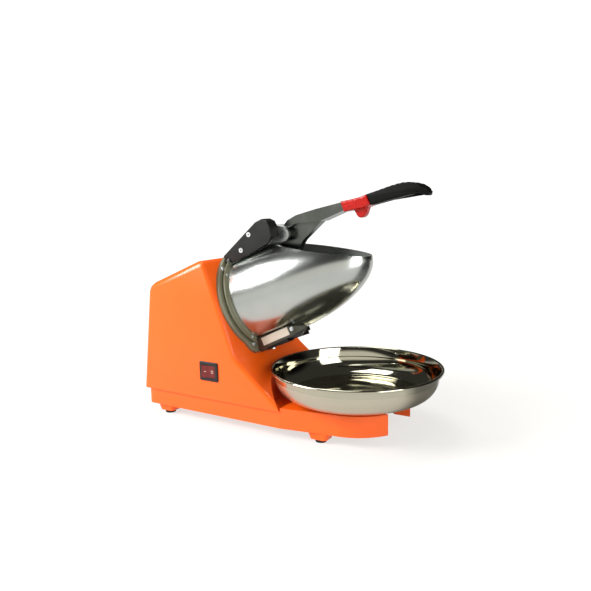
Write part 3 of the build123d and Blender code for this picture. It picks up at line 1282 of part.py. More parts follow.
def hand_grip():
    """Soft black grip with a raised back and a hooked end."""
    start = (JOIN_TOP[0] + 2 * FIT_GAP, JOIN_TOP[1])
    heel = (JOIN_BOTTOM[0] + 2 * FIT_GAP, JOIN_BOTTOM[1])
    back = [start, (145.0, 60.5), (166.0, 66.8), (184.0, 70.2), (200.0, 68.2), (212.0, 61.5)]
    top = Spline(*from_pivot(back))
    tip = Spline(*from_pivot([(212.0, 61.5), (216.4, 56.2), (212.5, 52.2), (203.0, 55.6)]))
    under = Spline(*from_pivot([(203.0, 55.6), (190.0, 53.4), (160.0, 46.6), heel]))
    end = Line(*from_pivot([heel, start]))
    face = Plane.XZ * make_face(top + tip + under + end)
    grip = extrude(face, GRIP_HALF_WIDTH, both=True)
    tip_x = face.bounding_box().max.X
    plan = extrude(RectangleRounded(LENGTH, 2 * GRIP_HALF_WIDTH, GRIP_END_RADIUS), 2 * LENGTH)
    grip &= Pos(tip_x - LENGTH / 2, 0, 0) * plan
    return grip - tang(FIT_GAP)


# ---- Bowl ----

def bowl_form(inset):
    """Solid of revolution of the bowl, drawn in by its sheet."""
    low = SEAT_TOP + BOWL_SEAT_GAP + inset
    top = SEAT_TOP + BOWL_SEAT_GAP + BOWL_DEPTH - BOWL_BEAD
    corner = BOWL_CORNER - inset
    arc = CenterArc((BOWL_FOOT_RADIUS, low + corner), corner, -90, 86)
    brim = (BOWL_WALL_RADIUS - inset, top + inset)
    line = Polyline(arc @ 1, brim, (0, top + inset), (0, low), (BOWL_FOOT_RADIUS, low))
    return revolve(Plane.XZ * make_face(arc + line), Axis.Z)


def bowl():
    """Spun steel bowl with a rolled rim, standing loose on the seat ring."""
    top = SEAT_TOP + BOWL_SEAT_GAP + BOWL_DEPTH - BOWL_BEAD
    bead = Pos(0, 0, top) * Torus(BOWL_RIM_RADIUS - BOWL_BEAD, BOWL_BEAD)
    return Pos(BOWL_X, 0, 0) * (bowl_form(0) - bowl_form(BOWL_SHEET) + bead)


# ---- Write every node ----

NODES = [
    base_tray, rubber_feet, foot_screws, cover_screws, housing_cover, cord_inlet, terminal_block,
    switch_bezel, switch_rocker, switch_terminals, blade_housing, housing_screws, motor_screws,
    motor_case, motor_front_cap, motor_rear_cap, stator_core, field_coils, rotor_core, commutator,
    brush_holders, cooling_fan, motor_shaft, cutter_disc, shaving_blades, blade_screws, disc_nut,
    hopper, hopper_screws, discharge_chute, discharge_guard, deflector_cheek, guard_screw,
    guard_bolt, label_plate, hinge_bracket, bracket_screws, micro_switch, switch_plunger,
    switch_cover, cover_rivets, hinge_pin, pin_clip, lever_arm, press_plate, press_screw,
    hand_guard, hand_grip, bowl,
]

for node in NODES:
    save(node(), node.__name__)
save(motor_bearing(MOTOR_CASE_FRONT), "front_bearing")
save(motor_bearing(MOTOR_CASE_REAR - BEARING_WIDTH), "rear_bearing")
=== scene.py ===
import math

import bmesh
import bpy
from mathutils import Matrix, Vector


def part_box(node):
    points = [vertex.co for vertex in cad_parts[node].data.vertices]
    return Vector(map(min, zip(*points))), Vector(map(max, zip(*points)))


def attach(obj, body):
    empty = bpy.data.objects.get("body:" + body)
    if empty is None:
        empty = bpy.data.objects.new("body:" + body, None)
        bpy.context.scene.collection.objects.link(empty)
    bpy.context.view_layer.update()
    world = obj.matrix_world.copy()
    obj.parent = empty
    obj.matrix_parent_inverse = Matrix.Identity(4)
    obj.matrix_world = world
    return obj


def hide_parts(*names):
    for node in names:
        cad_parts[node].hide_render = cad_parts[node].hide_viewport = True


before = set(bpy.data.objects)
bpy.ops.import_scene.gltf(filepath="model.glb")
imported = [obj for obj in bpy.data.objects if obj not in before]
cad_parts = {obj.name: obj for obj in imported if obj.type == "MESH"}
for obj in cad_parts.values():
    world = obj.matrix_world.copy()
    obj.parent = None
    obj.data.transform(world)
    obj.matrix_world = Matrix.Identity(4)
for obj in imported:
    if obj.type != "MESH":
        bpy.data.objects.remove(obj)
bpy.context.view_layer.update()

# Shaved ice machine, in metres, in the frame of its construction model.
# +X runs from the motor end to the bowl, the switch is on the -Y side, and the feet stand on Z = 0.
# The head is the leaning face that carries ring, hopper and bracket: its own frame has X up the face,
# Y to the switch side and Z straight out.

MM = 0.001
HEAD_LEAN = math.radians(21.0)
HEAD_ORIGIN = Vector((-75.0, 0.0, 179.5)) * MM


# ---- Camera ----

def place_camera():
    """Camera that looks a little down on the switch side and the bowl."""
    azimuth = math.radians(30.845)
    elevation = math.radians(8.484)
    roll = math.radians(-1.077)
    distance = 0.949282
    target = Vector((3.255, 1.333, 190.912)) * MM
    right = Vector((math.cos(azimuth), math.sin(azimuth), 0.0))
    back = Vector((
        math.sin(azimuth) * math.cos(elevation),
        -math.cos(azimuth) * math.cos(elevation),
        math.sin(elevation),
    ))
    up = back.cross(right)
    tilted_right = right * math.cos(roll) + up * math.sin(roll)
    tilted_up = up * math.cos(roll) - right * math.sin(roll)
    camera = bpy.data.objects.new("camera", bpy.data.cameras.new("camera"))
    camera.data.sensor_width = 36.0
    camera.data.lens = 38.286
    camera.data.clip_start = 0.05
    turn = Matrix((tilted_right, tilted_up, back)).transposed().to_4x4()
    camera.matrix_world = Matrix.Translation(target + back * distance) @ turn
    bpy.context.scene.collection.objects.link(camera)
    bpy.context.scene.camera = camera


# ---- Nodes and colours ----

def linear(code):
    """Linear colour of an sRGB hex value."""
    parts = [int(code[i:i + 2], 16) / 255 for i in (0, 2, 4)]
    parts = [c / 12.92 if c <= 0.04045 else ((c + 0.055) / 1.055) ** 2.4 for c in parts]
    return (*parts, 1.0)


def set_inputs(tree, node, values):
    """Give a node's inputs their values, or link them to another node's output."""
    for name, value in values.items():
        socket = node.inputs[name]
        if isinstance(value, bpy.types.NodeSocket):
            tree.links.new(value, socket)
        else:
            socket.default_value = value


def add_node(tree, kind, settings=None, inputs=None):
    """Add a node with its settings; an input takes a value or another node's output."""
    made = tree.nodes.new(kind)
    for name, value in (settings or {}).items():
        setattr(made, name, value)
    set_inputs(tree, made, inputs or {})
    return made


def blank_material(name):
    """New material with only its output node, and the shader that feeds it."""
    material = bpy.data.materials.new(name)
    material.use_nodes = True
    tree = material.node_tree
    tree.nodes.clear()
    shader = add_node(tree, "ShaderNodeBsdfPrincipled")
    output = add_node(tree, "ShaderNodeOutputMaterial")
    tree.links.new(shader.outputs["BSDF"], output.inputs["Surface"])
    return material, tree, shader


def pattern_scale(size_mm):
    """Texture scale that gives one cell of a pattern its real size."""
    return 1.0 / (size_mm * MM)


# The noise of the patches seldom leaves this range
PATCHES_FROM = 0.15
PATCHES_TO = 0.85


def surface(name, low, high, patch_mm, rough, grain_mm, grain_depth_mm, metallic=0.0, ior=1.5, shine=0.5):
    """Surface with colour between two hex values in soft patches, uneven gloss and a fine grain."""
    material, tree, shader = blank_material(name)
    place = add_node(tree, "ShaderNodeTexCoord")
    patches = add_node(tree, "ShaderNodeTexNoise", inputs={
        "Vector": place.outputs["Object"], "Scale": pattern_scale(patch_mm),
        "Detail": 3.0, "Roughness": 0.55,
    })
    tone = add_node(tree, "ShaderNodeMix", {"data_type": "RGBA"}, {
        "Factor": patches.outputs["Fac"], 6: linear(low), 7: linear(high),
    })
    gloss = add_node(tree, "ShaderNodeMapRange", {"interpolation_type": "SMOOTHERSTEP"}, {
        "Value": patches.outputs["Fac"], "From Min": PATCHES_FROM, "From Max": PATCHES_TO,
        "To Min": rough[0], "To Max": rough[1],
    })
    grain = add_node(tree, "ShaderNodeTexNoise", inputs={
        "Vector": place.outputs["Object"], "Scale": pattern_scale(grain_mm),
        "Detail": 4.0, "Roughness": 0.6,
    })
    relief = add_node(tree, "ShaderNodeBump", inputs={
        "Height": grain.outputs["Fac"], "Strength": 1.0, "Distance": grain_depth_mm * MM,
    })
    values = {
        "Base Color": tone.outputs[2], "Roughness": gloss.outputs["Result"],
        "Normal": relief.outputs["Normal"], "Metallic": metallic, "Specular IOR Level": shine,
    }
    if metallic == 0.0:
        values["IOR"] = ior
    set_inputs(tree, shader, values)
    return material


# Each finish: name, darker and lighter colour, size of its soft patches in mm, range of roughness,
# then width and depth of its grain in mm. A real grain under about 1 mm is too fine to show,
# so the comment gives its real size where it is drawn coarser.
FINISHES = {
    # Glossy moulded ABS: an even strong orange; its 1 mm orange-peel skin, drawn at 7 mm,
    # softens the reflections
    "orange_abs": surface(
        "glossy_orange_abs", "FF600C", "FF6610", 120, (0.28, 0.33), 7.0, 0.012, ior=1.53,
    ),
    # Moulded rubber: dull black, dusty in 6 mm patches; the 0.1 mm grain is drawn at 0.8 mm
    "rubber": surface("moulded_rubber", "121212", "1D1C1B", 6, (0.7, 0.85), 0.8, 0.05, ior=1.52),
    # Zinc-plated steel: small bright heads with a cloudy gloss; the 0.05 mm grit is drawn at 0.6 mm
    "zinc_screw": surface(
        "zinc_plated_steel", "C6CACC", "E2E5E6", 2.5, (0.34, 0.48), 0.6, 0.01, metallic=1.0,
    ),
    # Moulded nylon: deep black with a low sheen; the 0.2 mm spark texture is drawn at 0.7 mm
    "black_plastic": surface(
        "black_moulded_nylon", "0E0E0F", "161617", 14, (0.35, 0.45), 0.7, 0.02, ior=1.53,
    ),
    # Satin moulded polypropylene: soft black with wide dull highlights; the 0.3 mm skin is drawn at 2 mm
    "satin_black_cover": surface(
        "satin_black_polypropylene", "131412", "1A1B19", 22, (0.36, 0.46), 2.0, 0.02,
        ior=1.49, shine=0.35,
    ),
    # Polished polycarbonate: dark clear red with sharp highlights, a little wavy over 3 mm
    "rocker_lens": surface("red_polycarbonate", "5E0A06", "74100A", 9, (0.12, 0.2), 3.0, 0.004, ior=1.58),
    # Pale paint rubbed into the rocker's marks: a worn dusty pink with a 0.5 mm grain
    "mark_paint": surface("pale_mark_paint", "C49C90", "D8B4A8", 1.5, (0.4, 0.5), 0.5, 0.005, ior=1.5),
    # Drawn brass: warm yellow in 4 mm patches; the 0.1 mm draw marks are drawn at 0.7 mm
    "brass": surface("drawn_brass", "B08A3E", "C9A352", 4, (0.25, 0.4), 0.7, 0.01, metallic=1.0),
    # Painted aluminium casting: drab olive grey; the 1 mm cast skin under the paint, drawn at 5 mm,
    # breaks up its gloss
    "painted_casting": surface(
        "painted_aluminium_casting", "6E6D57", "7C7B64", 30, (0.3, 0.4), 5.0, 0.03, ior=1.5,
    ),
    # Zinc-coated sheet steel: mid grey with cloudy 18 mm spangle and a 1.5 mm rolled grain
    "motor_steel": surface(
        "zinc_coated_sheet_steel", "8F9496", "A9AEB0", 18, (0.32, 0.5), 1.5, 0.01, metallic=1.0,
    ),
    # Die-cast zinc: flat mid grey; the 0.3 mm grain of the die is drawn at 0.9 mm
    "motor_cap": surface("die_cast_zinc", "7F8486", "9B9FA1", 12, (0.4, 0.55), 0.9, 0.04, metallic=1.0),
    # Stacked core steel: dark and dull, with the 0.5 mm edges of its plates as a grain
    "core_steel": surface(
        "stacked_core_steel", "5B5F63", "74787B", 8, (0.4, 0.55), 0.5, 0.03, metallic=1.0,
    ),
    # Enamelled copper wire: red-brown varnish; the 0.4 mm wire is drawn as a 0.8 mm grain
    "copper": surface(
        "enamelled_copper_wire", "8E4A22", "B5622E", 3, (0.25, 0.38), 0.8, 0.08, metallic=1.0,
    ),
    # Ground bearing steel: cool, bright, close to a mirror; the 0.05 mm grind is drawn at 0.6 mm
    "bearing_steel": surface(
        "ground_bearing_steel", "AEB1B4", "C8CBCD", 6, (0.12, 0.22), 0.6, 0.004, metallic=1.0,
    ),
    # Ground shaft steel: bright grey with a thin haze; the 0.05 mm grind is drawn at 0.6 mm
    "shaft_steel": surface(
        "ground_shaft_steel", "9CA0A3", "B9BCBE", 8, (0.16, 0.26), 0.6, 0.005, metallic=1.0,
    ),
    # Moulded nylon of the fan: dark blue-grey and matt; the 0.2 mm texture is drawn at 0.8 mm
    "fan_plastic": surface("grey_fan_nylon", "2A2D30", "363A3D", 14, (0.42, 0.55), 0.8, 0.02, ior=1.53),
    # Cast aluminium disc: pale grey with a soft gloss and the 1 mm grain of its casting
    "disc_aluminium": surface(
        "cast_aluminium_disc", "A9ACAE", "C4C6C8", 12, (0.28, 0.42), 1.0, 0.03, metallic=1.0,
    ),
    # Ground blade steel: bright and cold, with sharp glints; the 0.05 mm grind is drawn at 0.5 mm
    "blade_steel": surface(
        "ground_blade_steel", "B4B8BB", "CFD2D4", 5, (0.1, 0.2), 0.5, 0.004, metallic=1.0,
    ),
    # Spun polished aluminium: cool grey that mirrors softly; the 0.5 mm spinning marks, drawn at 10 mm,
    # blur and bend the reflections a little
    "hopper_aluminium": surface(
        "spun_polished_aluminium", "B9BCB8", "CDD0CC", 60, (0.19, 0.26), 10.0, 0.006, metallic=1.0,
    ),
    # Aluminium left brushed inside: a wide dull sheen that mirrors nothing, its grey painted paler than
    # the outside as painted light on the shaded inside; the 0.3 mm brushing is drawn at 3 mm
    "hopper_inside": surface(
        "brushed_aluminium_inside_painted_paler", "C4C7C3", "D6D9D5", 30, (0.5, 0.6), 3.0, 0.006, metallic=1.0,
    ),
    # Blackened sheet steel: dark warm grey with a low sheen; the 0.1 mm grain is drawn at 0.8 mm
    "guard_sheet": surface(
        "blackened_sheet_steel", "4C4C44", "5C5C52", 12, (0.35, 0.5), 0.8, 0.02, metallic=1.0,
    ),
    # Bare vinyl label: warm cream with a satin face, no print; the 0.2 mm grain is drawn at 0.9 mm
    "label": surface("bare_vinyl_label", "C6B8A6", "D2C6B6", 10, (0.35, 0.45), 0.9, 0.01, ior=1.5),
    # Cast aluminium bracket: bright grey with soft highlights; the 1 mm cast skin is drawn at 6 mm
    "bracket_aluminium": surface(
        "cast_aluminium_bracket", "B4B7B5", "CDD0CD", 24, (0.28, 0.36), 6.0, 0.02, metallic=1.0,
    ),
    # Polished aluminium lever: mid grey with clear streaks of light, its colour painted dark as a
    # painted reflection of the dark surroundings it mirrors; the 1 mm polishing waves are drawn at 9 mm
    "lever_aluminium": surface(
        "polished_aluminium_lever_painted_dark", "5A5D59", "747772", 24, (0.18, 0.26), 9.0, 0.02, metallic=1.0,
    ),
    # Glossy moulded ABS: a full clear red with crisp highlights; the 1 mm skin is drawn at 9 mm
    "red_plastic": surface("glossy_red_abs", "AC120A", "B81810", 20, (0.2, 0.26), 9.0, 0.006, ior=1.42),
    # Soft PVC sleeve: the deepest black, with only a faint sheen on its ripples; the 0.3 mm grain
    # is drawn at 3 mm
    "black_grip": surface(
        "soft_black_pvc", "040404", "070706", 12, (0.45, 0.6), 3.0, 0.02, ior=1.5, shine=0.15,
    ),
    # Polished stainless steel: a warm mirror; its 1 mm polishing waves, drawn at 12 mm, bend it slightly
    "bowl_steel": surface(
        "polished_stainless_steel", "BBB8A4", "C7C4B0", 60, (0.06, 0.09), 12.0, 0.003, metallic=1.0,
    ),
    # Satin stainless steel: pale and warm, with soft broad reflections; the 0.2 mm brushing
    # is drawn at 10 mm
    "bowl_outside": surface(
        "satin_stainless_steel", "C4BCA8", "D0C9B7", 60, (0.28, 0.33), 10.0, 0.005, metallic=1.0,
    ),
}


def slot_of(name):
    """Material slot of a construction node."""
    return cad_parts[name].data.materials[0].name.split(".")[0]


SLOTS = {name: slot_of(name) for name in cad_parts}


def finish_cad_nodes():
    """Give every construction node the finish of its slot."""
    for name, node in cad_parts.items():
        node.material_slots[0].material = FINISHES[SLOTS[name]]


# ---- Stage ----

FLOOR_RADIUS = 6.0
# The floor is lifted to white between these distances from its middle, by these shares
LIFT_START = 0.2
LIFT_FULL = 0.75
LIFT_NEAR = 0.6
LIFT_FAR = 1.0
FLOOR_WHITE = 1.15
SURROUNDINGS_WHITE = 1.1
# Level of what mirrors see: bright low down, dark overhead, and darker still in a flag and on a mat
MIRROR_BRIGHT = 0.85
MIRROR_CEILING = 0.045
CEILING_RISE = 0.14
# The bright band climbs by this much on the open front, between two cosines from its direction
BRIGHT_FRONT = (0.512, -0.859, 0.0)
FRONT_START = 0.5
FRONT_FULL = 0.9
FRONT_CLIMB = 0.32
# Dark flag beyond the far side, from its edge to its middle by the cosine from its direction
DARK_FLAG = (0.757, 0.653, 0.0)
FLAG_EDGE = 0.8
FLAG_MIDDLE = 0.93
FLAG_LEVEL = 0.08
# Dark mat on the floor beyond the bowl, drawn the same way
DARK_MAT = (0.93, 0.368, 0.0)
MAT_EDGE = 0.86
MAT_MIDDLE = 0.95
MAT_LEVEL = 0.06
FILL_LEVEL = 0.3


def stage_material():
    """Matt white board, lifted to white away from the machine, which keeps a soft shadow round its feet."""
    material, tree, shader = blank_material("white_board")
    set_inputs(tree, shader, {"Base Color": linear("DCDCDA"), "Roughness": 0.9, "Specular IOR Level": 0.1})
    place = add_node(tree, "ShaderNodeTexCoord")
    away = add_node(tree, "ShaderNodeVectorMath", {"operation": "LENGTH"}, {0: place.outputs["Object"]})
    share = add_node(tree, "ShaderNodeMapRange", inputs={
        "Value": away.outputs["Value"], "From Min": LIFT_START, "From Max": LIFT_FULL,
        "To Min": LIFT_NEAR, "To Max": LIFT_FAR,
    })
    rays = add_node(tree, "ShaderNodeLightPath")
    seen = add_node(tree, "ShaderNodeMath", {"operation": "MAXIMUM"}, {
        0: rays.outputs["Is Camera Ray"], 1: rays.outputs["Is Glossy Ray"],
    })
    lift = add_node(tree, "ShaderNodeMath", {"operation": "MULTIPLY"}, {
        0: seen.outputs[0], 1: share.outputs["Result"],
    })
    heading = add_node(tree, "ShaderNodeVectorMath", {"operation": "NORMALIZE"}, {
        0: place.outputs["Object"],
    })
    toward = add_node(tree, "ShaderNodeVectorMath", {"operation": "DOT_PRODUCT"}, {
        0: heading.outputs[0], 1: DARK_MAT,
    })
    mat = add_node(tree, "ShaderNodeMapRange", inputs={
        "Value": toward.outputs["Value"], "From Min": MAT_EDGE, "From Max": MAT_MIDDLE,
        "To Min": MIRROR_BRIGHT, "To Max": MAT_LEVEL,
    })
    level = add_node(tree, "ShaderNodeMapRange", inputs={
        "Value": rays.outputs["Is Camera Ray"], "To Min": mat.outputs[0], "To Max": FLOOR_WHITE,
    })
    glow = add_node(tree, "ShaderNodeEmission", inputs={
        "Color": linear("FFFEFB"), "Strength": level.outputs[0],
    })
    mixed = add_node(tree, "ShaderNodeMixShader", inputs={
        0: lift.outputs[0], 1: shader.outputs["BSDF"], 2: glow.outputs["Emission"],
    })
    output = [n for n in tree.nodes if n.type == "OUTPUT_MATERIAL"][0]
    tree.links.new(mixed.outputs[0], output.inputs["Surface"])
    return material


def build_stage():
    """Round pale floor board, wide enough to fill every view."""
    mesh = bpy.data.meshes.new("floor_board")
    board = bmesh.new()
    bmesh.ops.create_circle(board, cap_ends=True, segments=96, radius=FLOOR_RADIUS)
    board.to_mesh(mesh)
    board.free()
    floor = bpy.data.objects.new("floor_board", mesh)
    mesh.materials.append(stage_material())
    bpy.context.scene.collection.objects.link(floor)


def build_world():
    """White surroundings for the camera; mirrors see a bright band, a dark ceiling and one dark flag."""
    world = bpy.data.worlds.new("studio")
    bpy.context.scene.world = world
    world.use_nodes = True
    tree = world.node_tree
    tree.nodes.clear()
    rays = add_node(tree, "ShaderNodeLightPath")
    seen = add_node(tree, "ShaderNodeMath", {"operation": "MAXIMUM"}, {
        0: rays.outputs["Is Camera Ray"], 1: rays.outputs["Is Transmission Ray"],
    })
    fill = add_node(tree, "ShaderNodeBackground", inputs={
        "Color": linear("FFFFFF"), "Strength": FILL_LEVEL,
    })
    place = add_node(tree, "ShaderNodeTexCoord")
    split = add_node(tree, "ShaderNodeSeparateXYZ", inputs={"Vector": place.outputs["Generated"]})
    front = add_node(tree, "ShaderNodeVectorMath", {"operation": "DOT_PRODUCT"}, {
        0: place.outputs["Generated"], 1: BRIGHT_FRONT,
    })
    raised = add_node(tree, "ShaderNodeMapRange", inputs={
        "Value": front.outputs["Value"], "From Min": FRONT_START, "From Max": FRONT_FULL,
        "To Min": 0.0, "To Max": FRONT_CLIMB,
    })
    band = add_node(tree, "ShaderNodeMath", {"operation": "SUBTRACT"}, {
        0: split.outputs["Z"], 1: raised.outputs[0],
    })
    height = add_node(tree, "ShaderNodeMapRange", inputs={
        "Value": band.outputs[0], "From Min": 0.0, "From Max": CEILING_RISE,
        "To Min": MIRROR_BRIGHT, "To Max": MIRROR_CEILING,
    })
    toward = add_node(tree, "ShaderNodeVectorMath", {"operation": "DOT_PRODUCT"}, {
        0: place.outputs["Generated"], 1: DARK_FLAG,
    })
    flag = add_node(tree, "ShaderNodeMapRange", inputs={
        "Value": toward.outputs["Value"], "From Min": FLAG_EDGE, "From Max": FLAG_MIDDLE,
        "To Min": 1.0, "To Max": FLAG_LEVEL,
    })
    level = add_node(tree, "ShaderNodeMath", {"operation": "MULTIPLY"}, {
        0: height.outputs[0], 1: flag.outputs[0],
    })
    mirror = add_node(tree, "ShaderNodeBackground", inputs={
        "Color": linear("FFFDF6"), "Strength": level.outputs[0],
    })
    white = add_node(tree, "ShaderNodeBackground", inputs={
        "Color": linear("FFFFFF"), "Strength": SURROUNDINGS_WHITE,
    })
    lit = add_node(tree, "ShaderNodeMixShader", inputs={
        0: rays.outputs["Is Glossy Ray"], 1: fill.outputs[0], 2: mirror.outputs[0],
    })
    shown = add_node(tree, "ShaderNodeMixShader", inputs={
        0: seen.outputs[0], 1: lit.outputs[0], 2: white.outputs[0],
    })
    output = add_node(tree, "ShaderNodeOutputWorld")
    tree.links.new(shown.outputs[0], output.inputs["Surface"])


def softbox(name, place, aim, size, power):
    """Rectangular soft lamp that faces a point."""
    lamp = bpy.data.lights.new(name, "AREA")
    lamp.shape = "RECTANGLE"
    lamp.size, lamp.size_y = size
    lamp.energy = power
    holder = bpy.data.objects.new(name, lamp)
    holder.location = place
    holder.rotation_euler = (Vector(aim) - Vector(place)).to_track_quat("-Z", "Y").to_euler()
    bpy.context.scene.collection.objects.link(holder)


def build_lights():
    """Large key on the switch side, a weaker fill by the bowl and a soft top, in metres and watts."""
    middle = (0.0, 0.0, 0.17)
    softbox("key", (-1.3, -1.2, 1.15), middle, (1.0, 0.85), 58.0)
    softbox("fill", (1.6, -0.6, 0.6), middle, (0.9, 1.1), 14.0)
    softbox("top", (-0.35, 0.1, 1.6), middle, (0.7, 0.6), 9.0)


# ---- Mesh tools ----

def to_object(name, shape):
    """Object in the scene from a bmesh."""
    mesh = bpy.data.meshes.new(name)
    bmesh.ops.recalc_face_normals(shape, faces=shape.faces)
    shape.to_mesh(mesh)
    shape.free()
    made = bpy.data.objects.new(name, mesh)
    bpy.context.scene.collection.objects.link(made)
    return made


def apply_modifiers(piece):
    """Turn a piece's modifiers into its mesh."""
    bpy.context.view_layer.update()
    graph = bpy.context.evaluated_depsgraph_get()
    mesh = bpy.data.meshes.new_from_object(piece.evaluated_get(graph))
    piece.modifiers.clear()
    piece.data = mesh


def carve(piece, tool, operation="DIFFERENCE"):
    """Cut a piece with a tool, which is used up."""
    cut = piece.modifiers.new("cut", "BOOLEAN")
    cut.solver = "EXACT"
    cut.operation = operation
    cut.object = tool
    apply_modifiers(piece)
    bpy.data.objects.remove(tool)


def smooth(piece, angle=32.0):
    """Smooth shading with creases kept where faces meet sharply."""
    piece.data.polygons.foreach_set("use_smooth", [True] * len(piece.data.polygons))
    piece.data.set_sharp_from_angle(angle=math.radians(angle))


def join_to_frame(piece, finishes, body, slot, *nodes):
    """Finish a piece, put it on its body and let it stand for its construction nodes."""
    if len(piece.data.materials) < len(finishes):
        for finish in finishes:
            piece.data.materials.append(finish)
    else:
        for place, finish in enumerate(finishes):
            piece.data.materials[place] = finish
    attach(piece, body)
    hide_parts(*nodes)
    return piece


def prism(name, outline, half_width, across, along, segments):
    """Prism across Y from (x, z) corners in mm, with a rounding across each corner and along each side."""
    shape = bmesh.new()
    near = [shape.verts.new((x * MM, -half_width(x) * MM, z * MM)) for x, z in outline]
    far = [shape.verts.new((x * MM, half_width(x) * MM, z * MM)) for x, z in outline]
    shape.faces.new(near)
    shape.faces.new(list(reversed(far)))
    count = len(outline)
    for i in range(count):
        j = (i + 1) % count
        shape.faces.new((near[i], far[i], far[j], near[j]))
    widest = max(*across, *along)
    weight = shape.edges.layers.float.new("bevel_weight_edge")
    for i in range(count):
        j = (i + 1) % count
        shape.edges.get((near[i], far[i]))[weight] = across[i] / widest
        shape.edges.get((near[i], near[j]))[weight] = along[i] / widest
        shape.edges.get((far[i], far[j]))[weight] = along[i] / widest
    piece = to_object(name, shape)
    bevel = piece.modifiers.new("rounding", "BEVEL")
    bevel.limit_method = "WEIGHT"
    bevel.width = widest * MM
    bevel.segments = segments
    bevel.use_clamp_overlap = False
    apply_modifiers(piece)
    return piece


def round_tool(name, radius_low, radius_high, low, high, place):
    """Cone or cylinder about the Z of a place, in mm, for cutting."""
    shape = bmesh.new()
    bmesh.ops.create_cone(
        shape, cap_ends=True, segments=180, radius1=radius_low * MM, radius2=radius_high * MM,
        depth=(high - low) * MM, matrix=place @ Matrix.Translation((0, 0, (low + high) / 2 * MM)),
    )
    return to_object(name, shape)


def block_tool(name, x_range, y_range, z_range, place):
    """Block from its ranges in mm in a place's frame, for cutting."""
    shape = bmesh.new()
    sides = [(high - low) * MM for low, high in (x_range, y_range, z_range)]
    middle = [(high + low) / 2 * MM for low, high in (x_range, y_range, z_range)]
    whole = place @ Matrix.Translation(middle) @ Matrix.Diagonal((*sides, 1.0))
    bmesh.ops.create_cube(shape, size=1.0, matrix=whole)
    return to_object(name, shape)


# A smaller radius, in mm, is a point on the axis
ON_AXIS = 1e-4


def lathe(profile, segments, place):
    """Surface of revolution about the Z of a place, from (radius, height) points in mm."""
    shape = bmesh.new()
    rings = []
    for radius, height in profile:
        if radius < ON_AXIS:
            rings.append([shape.verts.new(place @ Vector((0, 0, height * MM)))])
            continue
        ring = []
        for step in range(segments):
            turn = 2 * math.pi * step / segments
            point = Vector((radius * math.cos(turn), radius * math.sin(turn), height)) * MM
            ring.append(shape.verts.new(place @ point))
        rings.append(ring)
    for low, high in zip(rings, rings[1:]):
        for step in range(segments):
            after = (step + 1) % segments
            if len(low) == 1:
                shape.faces.new((low[0], high[after], high[step]))
            elif len(high) == 1:
                shape.faces.new((low[step], low[after], high[0]))
            else:
                shape.faces.new((low[step], low[after], high[after], high[step]))
    return shape


# ---- Places ----

UPRIGHT = Matrix.Identity(4)
HEAD = Matrix.Translation(HEAD_ORIGIN) @ Matrix((
    (-math.sin(HEAD_LEAN), 0.0, math.cos(HEAD_LEAN)),
    (0.0, -1.0, 0.0),
    (math.cos(HEAD_LEAN), 0.0, math.sin(HEAD_LEAN)),
)).to_4x4()
BOWL_LOW, BOWL_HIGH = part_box("bowl")
BOWL_PLACE = Matrix.Translation(((BOWL_LOW.x + BOWL_HIGH.x) / 2, 0.0, 0.0))
COVER_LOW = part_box("housing_cover")[0]
GRIP_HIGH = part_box("hand_grip")[1]

# Sizes from here on are in mm; a place multiplied by MM is in metres


# ---- Cover ----

# Side view: a rear wall that leans in, a flat top that climbs to the ridge, the head's face, the apron
COVER_REAR = COVER_LOW.x / MM
REAR_TUCK = 5.5
REAR_LEAN = 17.5
REAR_TOP = 207.0
RIDGE_X = -102.5
RIDGE_TOP = 251.0
FACE_FOOT_X = -46.4
FACE_FOOT_TOP = 105.0
APRON_END = 28.0
SEAM = 40.0
DECK = 44.7
COVER_REAR_HALF = 87.0
COVER_FRONT_HALF = 92.0
COVER_WALL = 3.0
COVER_SKIRT = 16.0
# For the inner shell: how much thicker a leaning wall is when measured level, and the shares of the
# inset by which the ridge and the end of the apron are drawn in
LEANING_WALL = 1.07
RIDGE_DRAW = 0.38
APRON_DRAW = 1.6
# Roundings of the edges that run across the cover, and of its side edges along the rear wall,
# the top, the head's face and the apron
TOP_ROUND = 13.0
FACE_FOOT_ROUND = 14.0
SIDE_ROUNDS = (9.0, 11.0, 7.0, 6.0)
# Room for the bowl: its radius at the seam and at the rim
BAY_LOW_RADIUS = 119.5
BAY_RIM_RADIUS = 128.0
BAY_START = SEAM - 1
BAY_END = 220.0
BAY_OVERLAP = 0.01
# Openings: radius for the head, recess for the chute's tab, the switch and the cord
HEAD_OPENING = 67.1
HEAD_OPENING_REACH = 8.0
TAB_RECESS = ((-79.6, 0.0), (-49.0, 49.0), (0.0, 10.0))
SWITCH_HALF_LONG = 14.2
SWITCH_HALF_HIGH = 11.2
SWITCH_REACH = (-2.0, 12.0)
INLET_OPENING = 8.1
INLET_REACH = 12.0
INLET_LEAN = math.radians(-81.7)
BEYOND_SKIRT = ((-400.0, 400.0), (-200.0, 200.0), (-50.0, SEAM))


def cover_half_width(inset):
    """Half the cover's width at an x, which grows towards the bowl."""
    def half(x):
        share = (x - COVER_REAR) / (APRON_END - COVER_REAR)
        return COVER_REAR_HALF + (COVER_FRONT_HALF - COVER_REAR_HALF) * share - inset
    return half


